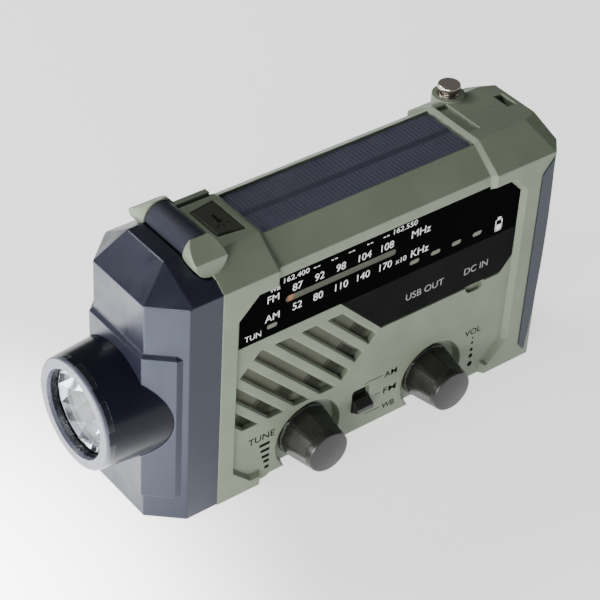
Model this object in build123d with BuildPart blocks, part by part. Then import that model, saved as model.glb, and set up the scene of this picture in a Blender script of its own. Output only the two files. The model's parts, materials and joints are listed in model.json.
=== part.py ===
from build123d import *
from math import acos, cos, pi, radians, sin, tan
import os

os.makedirs("parts", exist_ok=True)

# ---------------------------------------------------------------------------
# Driving dimensions, millimetres.  +X is the radio's right as its user sees it,
# +Y points to the back and Z is up.  The origin is the middle of the footprint.
# ---------------------------------------------------------------------------
HALF_DEPTH = 22.0            # middle to the front face of the bumper frames
SHOULDER_Z = 82.7            # where the front face turns into the top slope
TOP_Z = 90.4                 # flat top of the bumper frames
TOP_HALF = 11.3              # half depth of the flat top
CASE_LEFT = -47.0            # joint between the green case and the left end cap
CASE_RIGHT = 85.6
END_CORNER_X = 82.6          # where the right corner facet starts on the front
END_CORNER_Y = 18.4          # where it ends on the right face
END_TOP_X = 83.3             # right edge of the flat top
END_EAVES_Z = 84.2           # where the right face starts to lean in
END_FOOT_X = 83.7            # right edge of the base
WALL = 2.2
STEP = 1.8                   # the waist stands back from the bumpers by this much
WAIST_HALF = HALF_DEPTH - STEP
WAIST_TOP_Z = 89.4
WAIST_SHOULDER_Z = 82.3
WAIST_BASE_Z = 1.0
LEFT_BUMPER = -27.0          # inner edge of the left bumper on top
RIGHT_BUMPER = 58.0          # inner edge of the right bumper on top
BEVEL_RUN = 1.6
INNER = WAIST_HALF - WALL    # inside faces of the front and back walls

CAP_LEFT = -68.4             # flat left face of the end cap
CAP_CORNER_X = -58.4         # where the corner facet starts on the front
CAP_CORNER_Y = 13.0          # where it ends on the left face
CAP_RIDGE_X = -58.9
CAP_RIDGE_Y = 9.1
CAP_TOP_Z = 91.9
CAP_EAVES_Z = 82.2
PAD_T = 1.2                  # raised pad round the torch
PAD_TOP_Z = 65.0
PAD_BASE_Z = 9.0

TORCH_Z = 40.3
TORCH_R = 18.0               # at the front; the barrel widens towards the cap
TORCH_FLARE = 0.09
TORCH_FRONT = -84.5

KNOB_Z = 10.0
TUNE_X = -10.8
VOLUME_X = 40.0
DISH_R = 12.8                # shallow dish round each knob
DISH_DEPTH = 3.0
KNOB_FACE_Y = -31.4
KNOB_SKIRT_R = 9.7
KNOB_BASE_R = 9.4
KNOB_CAP_R = 7.4
SHAFT_R = 3.0
RUN_GAP = 0.05               # radial clearance of a running fit

DIAL_BASE_Z = 57.8
DIAL_TOP_Z = 78.4
DIAL_T = 1.4
SCALE_Z = 69.0
SCALE_LEFT = -22.8
SCALE_RIGHT = 19.6
LAMP_Z = 61.4
LAMP_XS = [-27.4, 27.7, 36.3, 44.9, 53.6]
FLAP_T = 1.6
FLAP_POCKET = 1.8
HINGE_Z = 57.6
SOCKET_Z = 49.5
USB_X = 32.5
DC_X = 54.8

SWITCH_X = 10.3
SWITCH_LOW_Z = 9.3
SWITCH_HIGH_Z = 17.9
SWITCH_W = 6.6
NUB_H = 4.8

SPEAKER_X = -14.0
SPEAKER_Z = 40.8
SPEAKER_R = 16.0
GRILLE_TOP = 53.5
GRILLE_BASE = 24.3
GRILLE_LEFT = -40.0
GRILLE_END = 24.0            # slots end on the line z = x + GRILLE_END
SLOT_FIRST = 50.6            # x + z along the middle of the rightmost slot
SLOT_PITCH = 10.03
SLOT_COUNT = 7
SLOT_W = 3.4

CRANK_X = 23.0
CRANK_Z = 46.0
CRANK_DISH_R = 34.0
CRANK_DISH_Y = 15.8          # floor of the dish
CRANK_REACH = 26.0
CRANK_KNOB_Y = 31.0

MODULE = 0.8
DRIVE_TEETH = 56
IDLER_SMALL_TEETH = 14
IDLER_BIG_TEETH = 48
PINION_TEETH = 12
GEAR_T = 3.0
FAR_GEAR_Y = 9.6             # front face of the drive gear and the small idler wheel
NEAR_GEAR_Y = 5.6            # front face of the big idler wheel and the pinion
PLATE_Y = 3.2
PLATE_T = 1.6
PINION_ANGLE = 60.0          # direction from idler to pinion

AERIAL_X = 67.0
AERIAL_Y = 13.5
AERIAL_BOSS_R = 5.4
AERIAL_BASE_Z = 6.0
AERIAL_RADII = [3.5, 3.1, 2.5, 1.9]
AERIAL_WALL = 0.3
AERIAL_TIP_Z = 91.8

BAR_X = -47.4
BAR_Z = 91.8
BAR_R = 5.1
LUG_R = 5.6
LUG_INNER_Y = 9.8
LUG_FACE_Y = 16.4            # the back one reaches further
BACK_LUG_FACE_Y = 17.5

BOARD_FRONT = -8.0
BOARD_T = 1.6
BOARD_BACK = BOARD_FRONT + BOARD_T

BUTTON_Z = 90.7
BUTTON_OUTLINE = [(-38.1, -6.4), (-29.2, -7.6), (-29.2, 8.3), (-38.1, 7.1)]
BUTTON_FLANGE_Z = 84.6
BUTTON_BOARD_Z = 77.8        # underside of the small board below the button
POINTER_RAIL_X = (-26.6, 23.6)
POINTER_RAIL_Y = -16.2

POST_R = 2.8
PILOT_R = 1.1
CASE_POSTS = [(-40.0, 9.0), (-40.0, 66.0), (-16.0, 79.6), (74.0, 9.0), (74.0, 72.0)]
BOARD_POSTS = [(66.0, 66.0), (66.0, 24.0), (8.0, 61.0), (-37.0, 18.0)]
PLATE_POSTS = [(-29.0, 66.0), (-29.0, 28.0), (55.0, 69.0), (55.0, 26.0)]
CAP_POSTS = [(-15.4, 9.0), (15.4, 9.0), (-15.4, 73.0), (15.4, 73.0)]


def front_plane(y):
    """Plane at depth y that faces the user: +X right, +Z up, normal to the front."""
    return Plane.XZ.offset(-y)


def save(part, name):
    part.label = name
    export_step(part, f"parts/{name}.step")


def box(x, y, z):
    """Plain block from ranges (low, high) along each axis."""
    with BuildPart() as block:
        with Locations(((x[0] + x[1]) / 2, (y[0] + y[1]) / 2, (z[0] + z[1]) / 2)):
            Box(x[1] - x[0], y[1] - y[0], z[1] - z[0])
    return block.part


def rod(x, z, radius, y_front, y_back):
    """Round bar along Y."""
    with BuildPart() as bar:
        with BuildSketch(front_plane(y_back)):
            with Locations((x, z)):
                Circle(radius)
        extrude(amount=y_back - y_front)
    return bar.part


def upright(x, y, radius, z_low, z_high):
    """Round bar along Z."""
    with BuildPart() as bar:
        with BuildSketch(Plane.XY.offset(z_low)):
            with Locations((x, y)):
                Circle(radius)
        extrude(amount=z_high - z_low)
    return bar.part


def side_rod(x, y, z, radius):
    """Round bar along X between the two values of x."""
    with BuildPart() as bar:
        with BuildSketch(Plane.YZ.offset(x[0])):
            with Locations((y, z)):
                Circle(radius)
        extrude(amount=x[1] - x[0])
    return bar.part


def slab(outline, y_front, y_back, grow=0.0, taper=0.0):
    """Prism of an (x, z) outline between two depths."""
    with BuildPart() as prism:
        with BuildSketch(front_plane(y_back)):
            Polygon(*outline, align=None)
            if grow:
                offset(amount=grow, kind=Kind.INTERSECTION)
        extrude(amount=y_back - y_front, taper=taper)
    return prism.part


# ---------------------------------------------------------------------------
# Case: bumper frames at both ends with a waist between them
# ---------------------------------------------------------------------------
def case_outline(half, base, shoulder, top, top_half):
    """Section across the case's length, as (y, z) points."""
    return [(-half, base), (-half, shoulder), (-top_half, top),
            (top_half, top), (half, shoulder), (half, base)]


BUMPER = case_outline(HALF_DEPTH, 0, SHOULDER_Z, TOP_Z, TOP_HALF)
TRIM_INSIDE = [(40, -20.5), (81.4, -20.5), (83.2, -18.3), (83.2, 18.3), (81.4, 20.5), (40, 20.5)]
WAIST = case_outline(WAIST_HALF, WAIST_BASE_Z, WAIST_SHOULDER_Z, WAIST_TOP_Z, TOP_HALF - 0.3)
CAVITY = case_outline(INNER, 3.2, 79.5, 86.0, 9.6)

# Edge of the sunken front, as (x, z) points: it follows the bumpers' inner edges
POCKET = [(-30.8, -2), (-30.8, 3.4), (-34.4, 3.4), (-41.3, 10), (-41.3, 70), (-34, 77.2),
          (LEFT_BUMPER, 77.2), (LEFT_BUMPER, SHOULDER_Z - 1), (RIGHT_BUMPER, SHOULDER_Z - 1),
          (RIGHT_BUMPER, 78.4), (65.9, 78.4), (71.9, 72.1), (71.9, 10.7), (64.3, 3.4),
          (63, 3.4), (63, -2)]
DIAL = [(-39.7, DIAL_BASE_Z), (-39.7, 69.2), (-33, 76), (LEFT_BUMPER + 0.6, 76),
        (LEFT_BUMPER + 1.6, DIAL_TOP_Z), (RIGHT_BUMPER - 1.2, DIAL_TOP_Z),
        (RIGHT_BUMPER + 0.8, 76.9), (65.6, 76.9), (70.6, 71.6), (70.6, DIAL_BASE_Z)]
FLAP = [(-0.6, HINGE_Z), (16.5, 40.5), (66.0, 40.5), (70.5, 45.9), (70.5, HINGE_Z)]
LUG_SLOPE = (TOP_Z - SHOULDER_Z) / (HALF_DEPTH - TOP_HALF)


def bumper_block(x0, x1, bevel_x):
    """One bumper frame from x0 to x1, drawn down to the waist at bevel_x."""
    near_end = x0 if bevel_x < x0 else x1
    with BuildPart() as block:
        with BuildSketch(Plane.YZ.offset(x0)):
            Polygon(*BUMPER, align=None)
        extrude(amount=x1 - x0)
        with BuildSketch(Plane.YZ.offset(near_end)):
            Polygon(*BUMPER, align=None)
        with BuildSketch(Plane.YZ.offset(bevel_x)):
            Polygon(*WAIST, align=None)
        loft()
    return block.part


def bar_lug(side, face_y):
    """Lug for one end of the strap bar; its outer end follows the case's slope."""
    slope = Plane(origin=(0, side * face_y, BAR_Z), z_dir=(0, side * LUG_SLOPE, 1))
    with BuildPart() as lug:
        with BuildSketch(front_plane(side * LUG_INNER_Y)):
            with Locations((BAR_X, BAR_Z)):
                Circle(LUG_R)
        extrude(amount=-side * (face_y - LUG_INNER_Y))
        split(bisect_by=slope, keep=Keep.BOTTOM)
    return lug.part


def end_trim():
    """Blue-grey trim that wraps the right end, bulging a little at mid height."""
    with BuildPart() as trim:
        with BuildSketch(front_plane(HALF_DEPTH + 0.3)):
            with BuildLine():
                Polyline((84.0, 3.0), (80.2, 3.0), (77.7, 6.0), (77.7, 75.6), (82.2, 81.0), (85.5, 81.0))
                ThreePointArc((85.5, 81.0), (86.4, 46.0), (84.0, 3.0))
            make_face()
        extrude(amount=2 * HALF_DEPTH + 0.6)
        for side in (-1, 1):
            end_face = trim.faces().sort_by(Axis.X)[-1]
            outer = end_face.edges().filter_by(Axis.Y, reverse=True).sort_by(Axis.Y)
            chamfer(outer[0 if side < 0 else -1], 4.3, 3.5, reference=end_face)
        with BuildSketch(Plane.XY):
            Polygon(*TRIM_INSIDE, align=None)
        extrude(amount=100, mode=Mode.SUBTRACT)
    return trim.part


def facet(points):
    """Plane through three points, facing the right end."""
    a, b, c = (Vector(*point) for point in points)
    normal = (b - a).cross(c - a)
    if normal.X < 0:
        normal = -normal
    return Plane(origin=a, z_dir=normal)


def corner_facets(side):
    """Planes that cut one corner of the right end: below and above the shoulder."""
    upright_facet = facet([(END_CORNER_X, side * HALF_DEPTH, 0), (END_CORNER_X, side * HALF_DEPTH, 10),
                           (CASE_RIGHT, side * END_CORNER_Y, 0)])
    slope_facet = facet([(80.9, side * 12.4, 89.0), (82.4, side * HALF_DEPTH, SHOULDER_Z),
                         (84.1, side * 9.0, TOP_Z)])
    return [upright_facet, slope_facet]


left_block = bumper_block(CASE_LEFT, LEFT_BUMPER, LEFT_BUMPER + BEVEL_RUN)
right_block = bumper_block(RIGHT_BUMPER, CASE_RIGHT, RIGHT_BUMPER - BEVEL_RUN)
trim_part = end_trim()
lugs = [bar_lug(-1, LUG_FACE_Y), bar_lug(1, BACK_LUG_FACE_Y)]
bar_pin_hole = rod(BAR_X, BAR_Z, 1.7, -13.4, 13.4)
bar_groove = rod(BAR_X, BAR_Z, BAR_R + 0.25, -LUG_INNER_Y, LUG_INNER_Y)
aerial_boss = upright(AERIAL_X, AERIAL_Y, AERIAL_BOSS_R, 80, TOP_Z + 0.4)
end_foot = facet([(CASE_RIGHT, 0, 26), (CASE_RIGHT, 10, 26), (END_FOOT_X, 0, 0)])
end_slope = facet([(END_TOP_X, 0, TOP_Z), (END_TOP_X, 10, TOP_Z), (CASE_RIGHT, 0, END_EAVES_Z)])
back_rib = box((-42.0, -28.0), (11.9, 14.0), (86.0, 91.0))
rib_groove = box((-42.0, -28.0), (10.9, 11.9), (89.7, 92.0))
strap_slot = box((78.3, 81.6), (-2.6, 4.4), (82.0, TOP_Z + 1))
strap_exit = box((80.0, CASE_RIGHT + 1), (-2.6, 4.4), (82.0, 87.2))

with BuildPart() as strap_block:
    add(box((76.0, CASE_RIGHT), (-5.2, 6.8), (79.6, TOP_Z)))
    split(bisect_by=end_slope, keep=Keep.BOTTOM)

with BuildPart() as case_blank:
    with BuildSketch(Plane.YZ.offset(CASE_LEFT)):
        Polygon(*WAIST, align=None)
    extrude(amount=CASE_RIGHT - CASE_LEFT)
    add([left_block, right_block])
    for side in (1, -1):
        with BuildSketch(front_plane(-side * HALF_DEPTH)):
            Polygon(*POCKET, align=None)
        extrude(amount=-side * STEP, taper=33, mode=Mode.SUBTRACT)
    for plane in corner_facets(-1) + corner_facets(1) + [end_slope, end_foot]:
        split(bisect_by=plane, keep=Keep.BOTTOM)
    add(lugs + [aerial_boss, back_rib])
    add(rib_groove, mode=Mode.SUBTRACT)
    # shallow notch between the solar strip and the right bumper
    with Locations((60.6, 1.6, TOP_Z)):
        Box(4.4, 16.4, 2.4, mode=Mode.SUBTRACT)
    with BuildSketch(Plane.YZ.offset(CASE_LEFT + WALL)):
        Polygon(*CAVITY, align=None)
    extrude(amount=CASE_RIGHT - CASE_LEFT - 2 * WALL - 3.0, mode=Mode.SUBTRACT)
    add(strap_block.part)
    add([trim_part, strap_slot, strap_exit, bar_groove, bar_pin_hole], mode=Mode.SUBTRACT)
    # seat for the solar strip
    with BuildSketch(Plane.XY.offset(WAIST_TOP_Z)):
        with Locations((15.5, 0)):
            Rectangle(81.8, 22.2)
    extrude(amount=-1.4, mode=Mode.SUBTRACT)
    # opening for the torch button
    with BuildSketch(Plane.XY.offset(TOP_Z)):
        Polygon(*BUTTON_OUTLINE, align=None)
        offset(amount=0.35)
    extrude(amount=-8, mode=Mode.SUBTRACT)
    # bore for the aerial
    with Locations((AERIAL_X, AERIAL_Y, TOP_Z)):
        Cylinder(AERIAL_RADII[0] + 0.15, 26, mode=Mode.SUBTRACT)
    # screw holes in the left wall for the end cap
    with BuildSketch(Plane.YZ.offset(CASE_LEFT)):
        with Locations(*CAP_POSTS):
            Circle(PILOT_R + 0.2)
    extrude(amount=WALL, mode=Mode.SUBTRACT)


# ---------------------------------------------------------------------------
# Front shell
# ---------------------------------------------------------------------------
def knob_seat(x):
    """Thick disc behind a knob dish, kept above the case's base."""
    with BuildPart() as seat:
        with BuildSketch(front_plane(-15.2)):
            with Locations((x, KNOB_Z)):
                Circle(DISH_R + 1.4)
            with Locations((x, WAIST_BASE_Z - 10)):
                Rectangle(40, 20, mode=Mode.SUBTRACT)
        extrude(amount=WAIST_HALF - 15.2)
    return seat.part


def grille_slots():
    """Slanted sound slots with sloping edges at their mouths."""
    with BuildPart() as slots:
        for depth, width, floor in ((0.8, SLOT_W + 1.2, False), (WALL + 0.4, SLOT_W, True)):
            with BuildSketch(front_plane(-WAIST_HALF)):
                for index in range(SLOT_COUNT):
                    total = SLOT_FIRST - index * SLOT_PITCH
                    with Locations(Location((total / 2, total / 2), -45)):
                        Rectangle(120, width)
                Polygon((GRILLE_LEFT, GRILLE_TOP), (GRILLE_TOP - GRILLE_END, GRILLE_TOP),
                        (GRILLE_BASE - GRILLE_END, GRILLE_BASE), (GRILLE_LEFT, GRILLE_BASE),
                        align=None, mode=Mode.INTERSECT)
            extrude(amount=-depth, taper=0 if floor else 30)
    return slots.part


seats = [knob_seat(x) for x in (TUNE_X, VOLUME_X)]
flap_wall = slab(FLAP, -INNER, -16.0, grow=1.4)
front_posts = [rod(x, z, POST_R, -INNER, 0) for x, z in CASE_POSTS]
board_posts = [rod(x, z, 2.4, -INNER, BOARD_FRONT) for x, z in BOARD_POSTS]
rail_posts = [box((x - 1.2, x + 1.2), (-INNER, -13.6), (SCALE_Z - 2, SCALE_Z + 2)) for x in (-27.0, 24.0)]
board_ledge = box((-41, -27), (-INNER - 0.5, -7.5), (76.2, BUTTON_BOARD_Z))
rail = side_rod(POINTER_RAIL_X, POINTER_RAIL_Y, SCALE_Z, 0.6)
slots_part = grille_slots()

with BuildPart() as front_shell:
    add(case_blank.part)
    split(bisect_by=Plane.XZ, keep=Keep.TOP)
    add(seats + [flap_wall, board_ledge] + front_posts + board_posts + rail_posts)
    add(rail, mode=Mode.SUBTRACT)
    # pilot holes
    with BuildSketch(front_plane(0)):
        with Locations(*CASE_POSTS):
            Circle(PILOT_R)
    extrude(amount=11, mode=Mode.SUBTRACT)
    with BuildSketch(front_plane(BOARD_FRONT)):
        with Locations(*BOARD_POSTS):
            Circle(PILOT_R)
    extrude(amount=7, mode=Mode.SUBTRACT)
    # dial seat, pointer slot and lamp holes
    with BuildSketch(front_plane(-WAIST_HALF)):
        Polygon(*DIAL, align=None)
    extrude(amount=-DIAL_T, mode=Mode.SUBTRACT)
    with BuildSketch(front_plane(-WAIST_HALF)):
        with Locations(((SCALE_LEFT + SCALE_RIGHT) / 2, SCALE_Z)):
            Rectangle(SCALE_RIGHT - SCALE_LEFT + 1.4, 5.0)
        with Locations(*[(x, LAMP_Z) for x in LAMP_XS]):
            SlotOverall(4.4, 2.2)
    extrude(amount=-WALL - 0.4, mode=Mode.SUBTRACT)
    # port flap seat with its nail notch, and the two socket holes
    with BuildSketch(front_plane(-WAIST_HALF)):
        Polygon(*FLAP, align=None)
        offset(amount=0.25, kind=Kind.INTERSECTION)
    extrude(amount=-FLAP_POCKET, mode=Mode.SUBTRACT)
    with BuildSketch(front_plane(-WAIST_HALF)):
        with Locations((55.4, 40.2)):
            SlotOverall(8.0, 5.0)
    extrude(amount=-1.3, mode=Mode.SUBTRACT)
    with BuildSketch(front_plane(-WAIST_HALF)):
        with Locations((USB_X, SOCKET_Z)):
            Rectangle(13.8, 6.4)
        with Locations((DC_X, SOCKET_Z)):
            Circle(3.5)
    extrude(amount=-6, mode=Mode.SUBTRACT)
    # knob dishes and shaft holes
    with BuildSketch(front_plane(-WAIST_HALF)):
        with Locations((TUNE_X, KNOB_Z), (VOLUME_X, KNOB_Z)):
            Circle(DISH_R)
    extrude(amount=-DISH_DEPTH, taper=12, mode=Mode.SUBTRACT)
    with BuildSketch(front_plane(-WAIST_HALF)):
        with Locations((TUNE_X, KNOB_Z), (VOLUME_X, KNOB_Z)):
            Circle(SHAFT_R + 0.8)
    extrude(amount=-8, mode=Mode.SUBTRACT)
    # band switch slot
    with BuildSketch(front_plane(-WAIST_HALF)):
        with Locations((SWITCH_X, (SWITCH_LOW_Z + SWITCH_HIGH_Z) / 2)):
            RectangleRounded(SWITCH_W + 0.6, SWITCH_HIGH_Z - SWITCH_LOW_Z + 0.6, 1.0)
    extrude(amount=-WALL - 1, mode=Mode.SUBTRACT)
    add(slots_part, mode=Mode.SUBTRACT)
save(front_shell.part, "front_shell")

# ---------------------------------------------------------------------------
# Rear shell
# ---------------------------------------------------------------------------
rear_posts = [rod(x, z, POST_R, 0, INNER + 0.5) for x, z in CASE_POSTS]
rear_ledge = box((-41, -27), (7.5, INNER + 0.5), (76.2, BUTTON_BOARD_Z))
plate_posts = [rod(x, z, 2.4, PLATE_Y + PLATE_T, INNER + 0.5) for x, z in PLATE_POSTS]
dish_wall = rod(CRANK_X, CRANK_Z, CRANK_DISH_R + WALL, CRANK_DISH_Y - 2.0, WAIST_HALF)


def screw_seat_y(x):
    """Back face that a case screw is sunk into."""
    return HALF_DEPTH if x > 71 else WAIST_HALF


with BuildPart() as rear_shell:
    add(case_blank.part)
    split(bisect_by=Plane.XZ, keep=Keep.BOTTOM)
    add(rear_posts + plate_posts + [dish_wall, rear_ledge])
    with BuildSketch(front_plane(WAIST_HALF)):
        with Locations((CRANK_X, CRANK_Z)):
            Circle(CRANK_DISH_R)
    extrude(amount=WAIST_HALF - CRANK_DISH_Y, taper=8, mode=Mode.SUBTRACT)
    with BuildSketch(front_plane(HALF_DEPTH)):
        with Locations((CRANK_X, CRANK_Z)):
            Circle(5.6)
    extrude(amount=10, mode=Mode.SUBTRACT)
    with BuildSketch(front_plane(HALF_DEPTH + 1)):
        with Locations(*CASE_POSTS):
            Circle(PILOT_R + 0.2)
    extrude(amount=HALF_DEPTH + 1, mode=Mode.SUBTRACT)
    for x, z in CASE_POSTS:
        with BuildSketch(front_plane(screw_seat_y(x))):
            with Locations((x, z)):
                Circle(2.5)
        extrude(amount=2.4, mode=Mode.SUBTRACT)
    with BuildSketch(front_plane(PLATE_Y + PLATE_T)):
        with Locations(*PLATE_POSTS):
            Circle(PILOT_R)
    extrude(amount=-8, mode=Mode.SUBTRACT)
    # grip ribs pressed into the back, left of the crank
    with BuildSketch(front_plane(WAIST_HALF)):
        with GridLocations(0, 6, 1, 7):
            with Locations((-27.5, 40)):
                SlotOverall(20, 2.2)
    extrude(amount=0.9, mode=Mode.SUBTRACT)
save(rear_shell.part, "rear_shell")
save(trim_part, "right_end_trim")

with BuildPart() as strap_bar:
    with BuildSketch(front_plane(LUG_INNER_Y - 0.15)):
        with Locations((BAR_X, BAR_Z)):
            Circle(BAR_R)
    extrude(amount=2 * LUG_INNER_Y - 0.3)
    with BuildSketch(front_plane(13.0)):
        with Locations((BAR_X, BAR_Z)):
            Circle(1.7)
    extrude(amount=26.0)
save(strap_bar.part, "strap_bar")


# ---------------------------------------------------------------------------
# Left end cap: a faceted nose that carries the torch
# ---------------------------------------------------------------------------
def cap_solid(inset):
    """Faceted block, with every outer face moved in by inset."""
    half = HALF_DEPTH - inset
    floor = inset
    with BuildPart() as nose:
        with BuildSketch(Plane.YZ.offset(CASE_LEFT)):
            Polygon(*case_outline(half, floor, SHOULDER_Z - inset, CAP_TOP_Z - inset, TOP_HALF - 2.1),
                    align=None)
        extrude(amount=CAP_LEFT + inset - CASE_LEFT)
        for side in (-1, 1):
            eaves = Vector(CAP_CORNER_X, side * HALF_DEPTH, CAP_EAVES_Z)
            left = Vector(CAP_LEFT, side * CAP_CORNER_Y, CAP_EAVES_Z)
            ridge = Vector(CAP_RIDGE_X, side * CAP_RIDGE_Y, CAP_TOP_Z)
            for points in ((eaves, left, left + Vector(0, 0, -50)), (eaves, left, ridge)):
                normal = (points[1] - points[0]).cross(points[2] - points[0]).normalized()
                if normal.X > 0:
                    normal = -normal
                split(bisect_by=Plane(origin=points[0] - normal * inset, z_dir=normal), keep=Keep.BOTTOM)
        roof = Vector(CAP_EAVES_Z - CAP_TOP_Z, 0, CAP_RIDGE_X - CAP_LEFT).normalized()
        split(bisect_by=Plane(origin=Vector(CAP_LEFT, 0, CAP_EAVES_Z) - roof * inset, z_dir=roof),
              keep=Keep.BOTTOM)
        if not inset:
            fillet(nose.edges().filter_by(lambda e: e.center().X < CASE_LEFT - 0.5), 0.8)
    return nose.part


def cap_pad():
    """Raised pad on the left face and most of both corner facets."""
    facet = Vector(CAP_LEFT - CAP_CORNER_X, HALF_DEPTH - CAP_CORNER_Y).normalized()
    out = Vector(-facet.Y, -facet.X)
    start = Vector(CAP_CORNER_X, -HALF_DEPTH) + facet * 2.0
    rise = start + facet * 1.6 + Vector(out.X, -abs(out.Y)) * PAD_T
    corner_x = CAP_LEFT - PAD_T
    front = [(start.X, start.Y), (rise.X, rise.Y), (corner_x, -CAP_CORNER_Y - 0.55)]
    back = [(x, -y) for x, y in reversed(front)]
    with BuildPart() as pad:
        with BuildSketch(Plane.XY.offset(PAD_BASE_Z)):
            Polygon(*front, *back, align=None)
        extrude(amount=PAD_TOP_Z - PAD_BASE_Z)
        ends = pad.faces().filter_by(Axis.Z).edges().filter_by(lambda e: e.center().X < CAP_CORNER_X - 1.8)
        chamfer(ends, 1.1)
    return pad.part


# ---------------------------------------------------------------------------
# Torch, along -X at TORCH_Z
# ---------------------------------------------------------------------------
SEAT_X = -61.5               # the barrel steps in to its neck here
NECK_R = 17.8


def barrel_r(x):
    """Outside radius of the barrel, which widens towards the cap."""
    return TORCH_R + (x - TORCH_FRONT) * TORCH_FLARE


def turned(profile):
    """Solid of revolution about the torch axis, from (x, radius) points."""
    with BuildPart() as body:
        with BuildSketch(Plane.XZ):
            with Locations((0, TORCH_Z)):
                Polygon(*profile, align=None)
        revolve(axis=Axis((0, 0, TORCH_Z), (1, 0, 0)))
    return body.part


cap_body = cap_solid(0)
cap_hollow = cap_solid(WALL)
pad_part = cap_pad()

with BuildPart() as left_end_cap:
    add([cap_body, pad_part])
    add(cap_hollow, mode=Mode.SUBTRACT)
    with BuildSketch(Plane.YZ.offset(CASE_LEFT)):
        with Locations(*CAP_POSTS):
            Circle(POST_R)
        with Locations(*[(y * 1.18, z) for y, z in CAP_POSTS]):
            Rectangle(5, 3)
    extrude(amount=-10)
    with BuildSketch(Plane.YZ.offset(CASE_LEFT)):
        with Locations(*CAP_POSTS):
            Circle(PILOT_R)
    extrude(amount=-8, mode=Mode.SUBTRACT)
    # groove round the strap bar and its lugs
    with Locations(Location((BAR_X, 0, BAR_Z), (90, 0, 0))):
        Cylinder(LUG_R + 0.5, 2 * LUG_FACE_Y + 14, mode=Mode.SUBTRACT)
    add(turned([(-82, 0), (-82, barrel_r(-82) + 0.1), (SEAT_X + 0.1, barrel_r(SEAT_X) + 0.1),
                (SEAT_X + 0.1, NECK_R + 0.1), (-53, NECK_R + 0.1), (-53, 0)]), mode=Mode.SUBTRACT)
save(left_end_cap.part, "left_end_cap")

RING_END = TORCH_FRONT + 1.0
TOOTH_END = TORCH_FRONT + 3.0
BEZEL_END = TORCH_FRONT + 3.2
TOOTH_W = 9.4
SKIRT_R = 16.5
BORE_R = 15.7
LENS_BACK = BEZEL_END + 1.4
LED_BOARD_BACK = -61.8


def tooth_ring(x_front, x_back, width, mode):
    """Ring of teeth between the bezel and the barrel, or the gaps left for them."""
    with BuildPart() as ring:
        add(turned([(x_front, SKIRT_R), (x_front, barrel_r(x_front)), (x_back, barrel_r(x_back)),
                    (x_back, SKIRT_R)]))
        with BuildSketch(Plane.YZ.offset(x_front - 1)):
            with Locations((0, TORCH_Z)):
                with PolarLocations(TORCH_R, 8, start_angle=14.5):
                    Rectangle(8, width)
        extrude(amount=x_back - x_front + 2, mode=mode)
    return ring.part


barrel_front = [(BEZEL_END, BORE_R), (BEZEL_END, SKIRT_R), (TOOTH_END, SKIRT_R),
                (TOOTH_END, barrel_r(TOOTH_END)), (SEAT_X, barrel_r(SEAT_X)), (SEAT_X, NECK_R)]
barrel_flange = [(-57.2, NECK_R), (-57.2, NECK_R + 1.5), (-55.4, NECK_R + 1.5), (-55.4, BORE_R)]
barrel_floor = [(-60.0, BORE_R), (-60.0, 4.0), (LED_BOARD_BACK, 4.0), (LED_BOARD_BACK, BORE_R)]
barrel_lands = tooth_ring(RING_END + 0.05, TOOTH_END + 0.1, TOOTH_W + 0.1, Mode.SUBTRACT)
bezel_teeth = tooth_ring(RING_END - 0.1, TOOTH_END - 0.05, TOOTH_W, Mode.INTERSECT)

with BuildPart() as torch_barrel:
    add(turned(barrel_front + barrel_flange + barrel_floor))
    add(barrel_lands)
    # two short slots on the underside
    with Locations((-74.6, -4.5, TORCH_Z - barrel_r(-74.6)), (-74.6, 4.5, TORCH_Z - barrel_r(-74.6))):
        Box(6, 2.2, 2.4, mode=Mode.SUBTRACT)
save(torch_barrel.part, "torch_barrel")

with BuildPart() as torch_bezel:
    add(turned([(TORCH_FRONT, 14.6), (TORCH_FRONT, TORCH_R - 0.4), (TORCH_FRONT + 0.4, TORCH_R),
                (RING_END, barrel_r(RING_END)), (RING_END, SKIRT_R - 0.05), (BEZEL_END, SKIRT_R - 0.05),
                (BEZEL_END, 14.2), (TORCH_FRONT + 1.2, 14.2)]))
    add(bezel_teeth)
save(torch_bezel.part, "torch_bezel")

save(side_rod((BEZEL_END, LENS_BACK), 0, TORCH_Z, BORE_R - 0.05), "torch_lens")

# The bowl is a parabola: t runs from 0 at the throat to 1 at the mouth
THROAT_X = -64.6
THROAT_R = 3.4
MOUTH_R = 14.2
RIM_Z = TORCH_Z + BORE_R - 0.05
bowl = []
for step in range(9):
    t = step / 8
    bowl_r = (THROAT_R ** 2 + (MOUTH_R ** 2 - THROAT_R ** 2) * t) ** 0.5
    bowl.append((THROAT_X + (LENS_BACK - THROAT_X) * t, TORCH_Z + bowl_r))
bowl_back = [(x, z + 0.9) for x, z in reversed(bowl)][1:]

with BuildPart() as torch_reflector:
    with BuildSketch(Plane.XZ):
        with BuildLine():
            Spline(*bowl)
            Polyline(bowl[-1], (LENS_BACK, RIM_Z), (LENS_BACK + 0.9, RIM_Z), bowl_back[0])
            Spline(*bowl_back)
            Line(bowl_back[-1], bowl[0])
        make_face()
    revolve(axis=Axis((0, 0, TORCH_Z), (1, 0, 0)))
save(torch_reflector.part, "torch_reflector")

with BuildPart() as torch_led:
    add(side_rod((LED_BOARD_BACK - 1.6, LED_BOARD_BACK), 0, TORCH_Z, 9.0))
    with Locations((LED_BOARD_BACK - 2.1, 0, TORCH_Z)):
        Box(1.0, 3.5, 3.5)
    with Locations(Location((LED_BOARD_BACK - 2.6, 0, TORCH_Z), (0, -90, 0))):
        Sphere(1.5, arc_size1=0, arc_size2=90)
save(torch_led.part, "torch_led")

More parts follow.
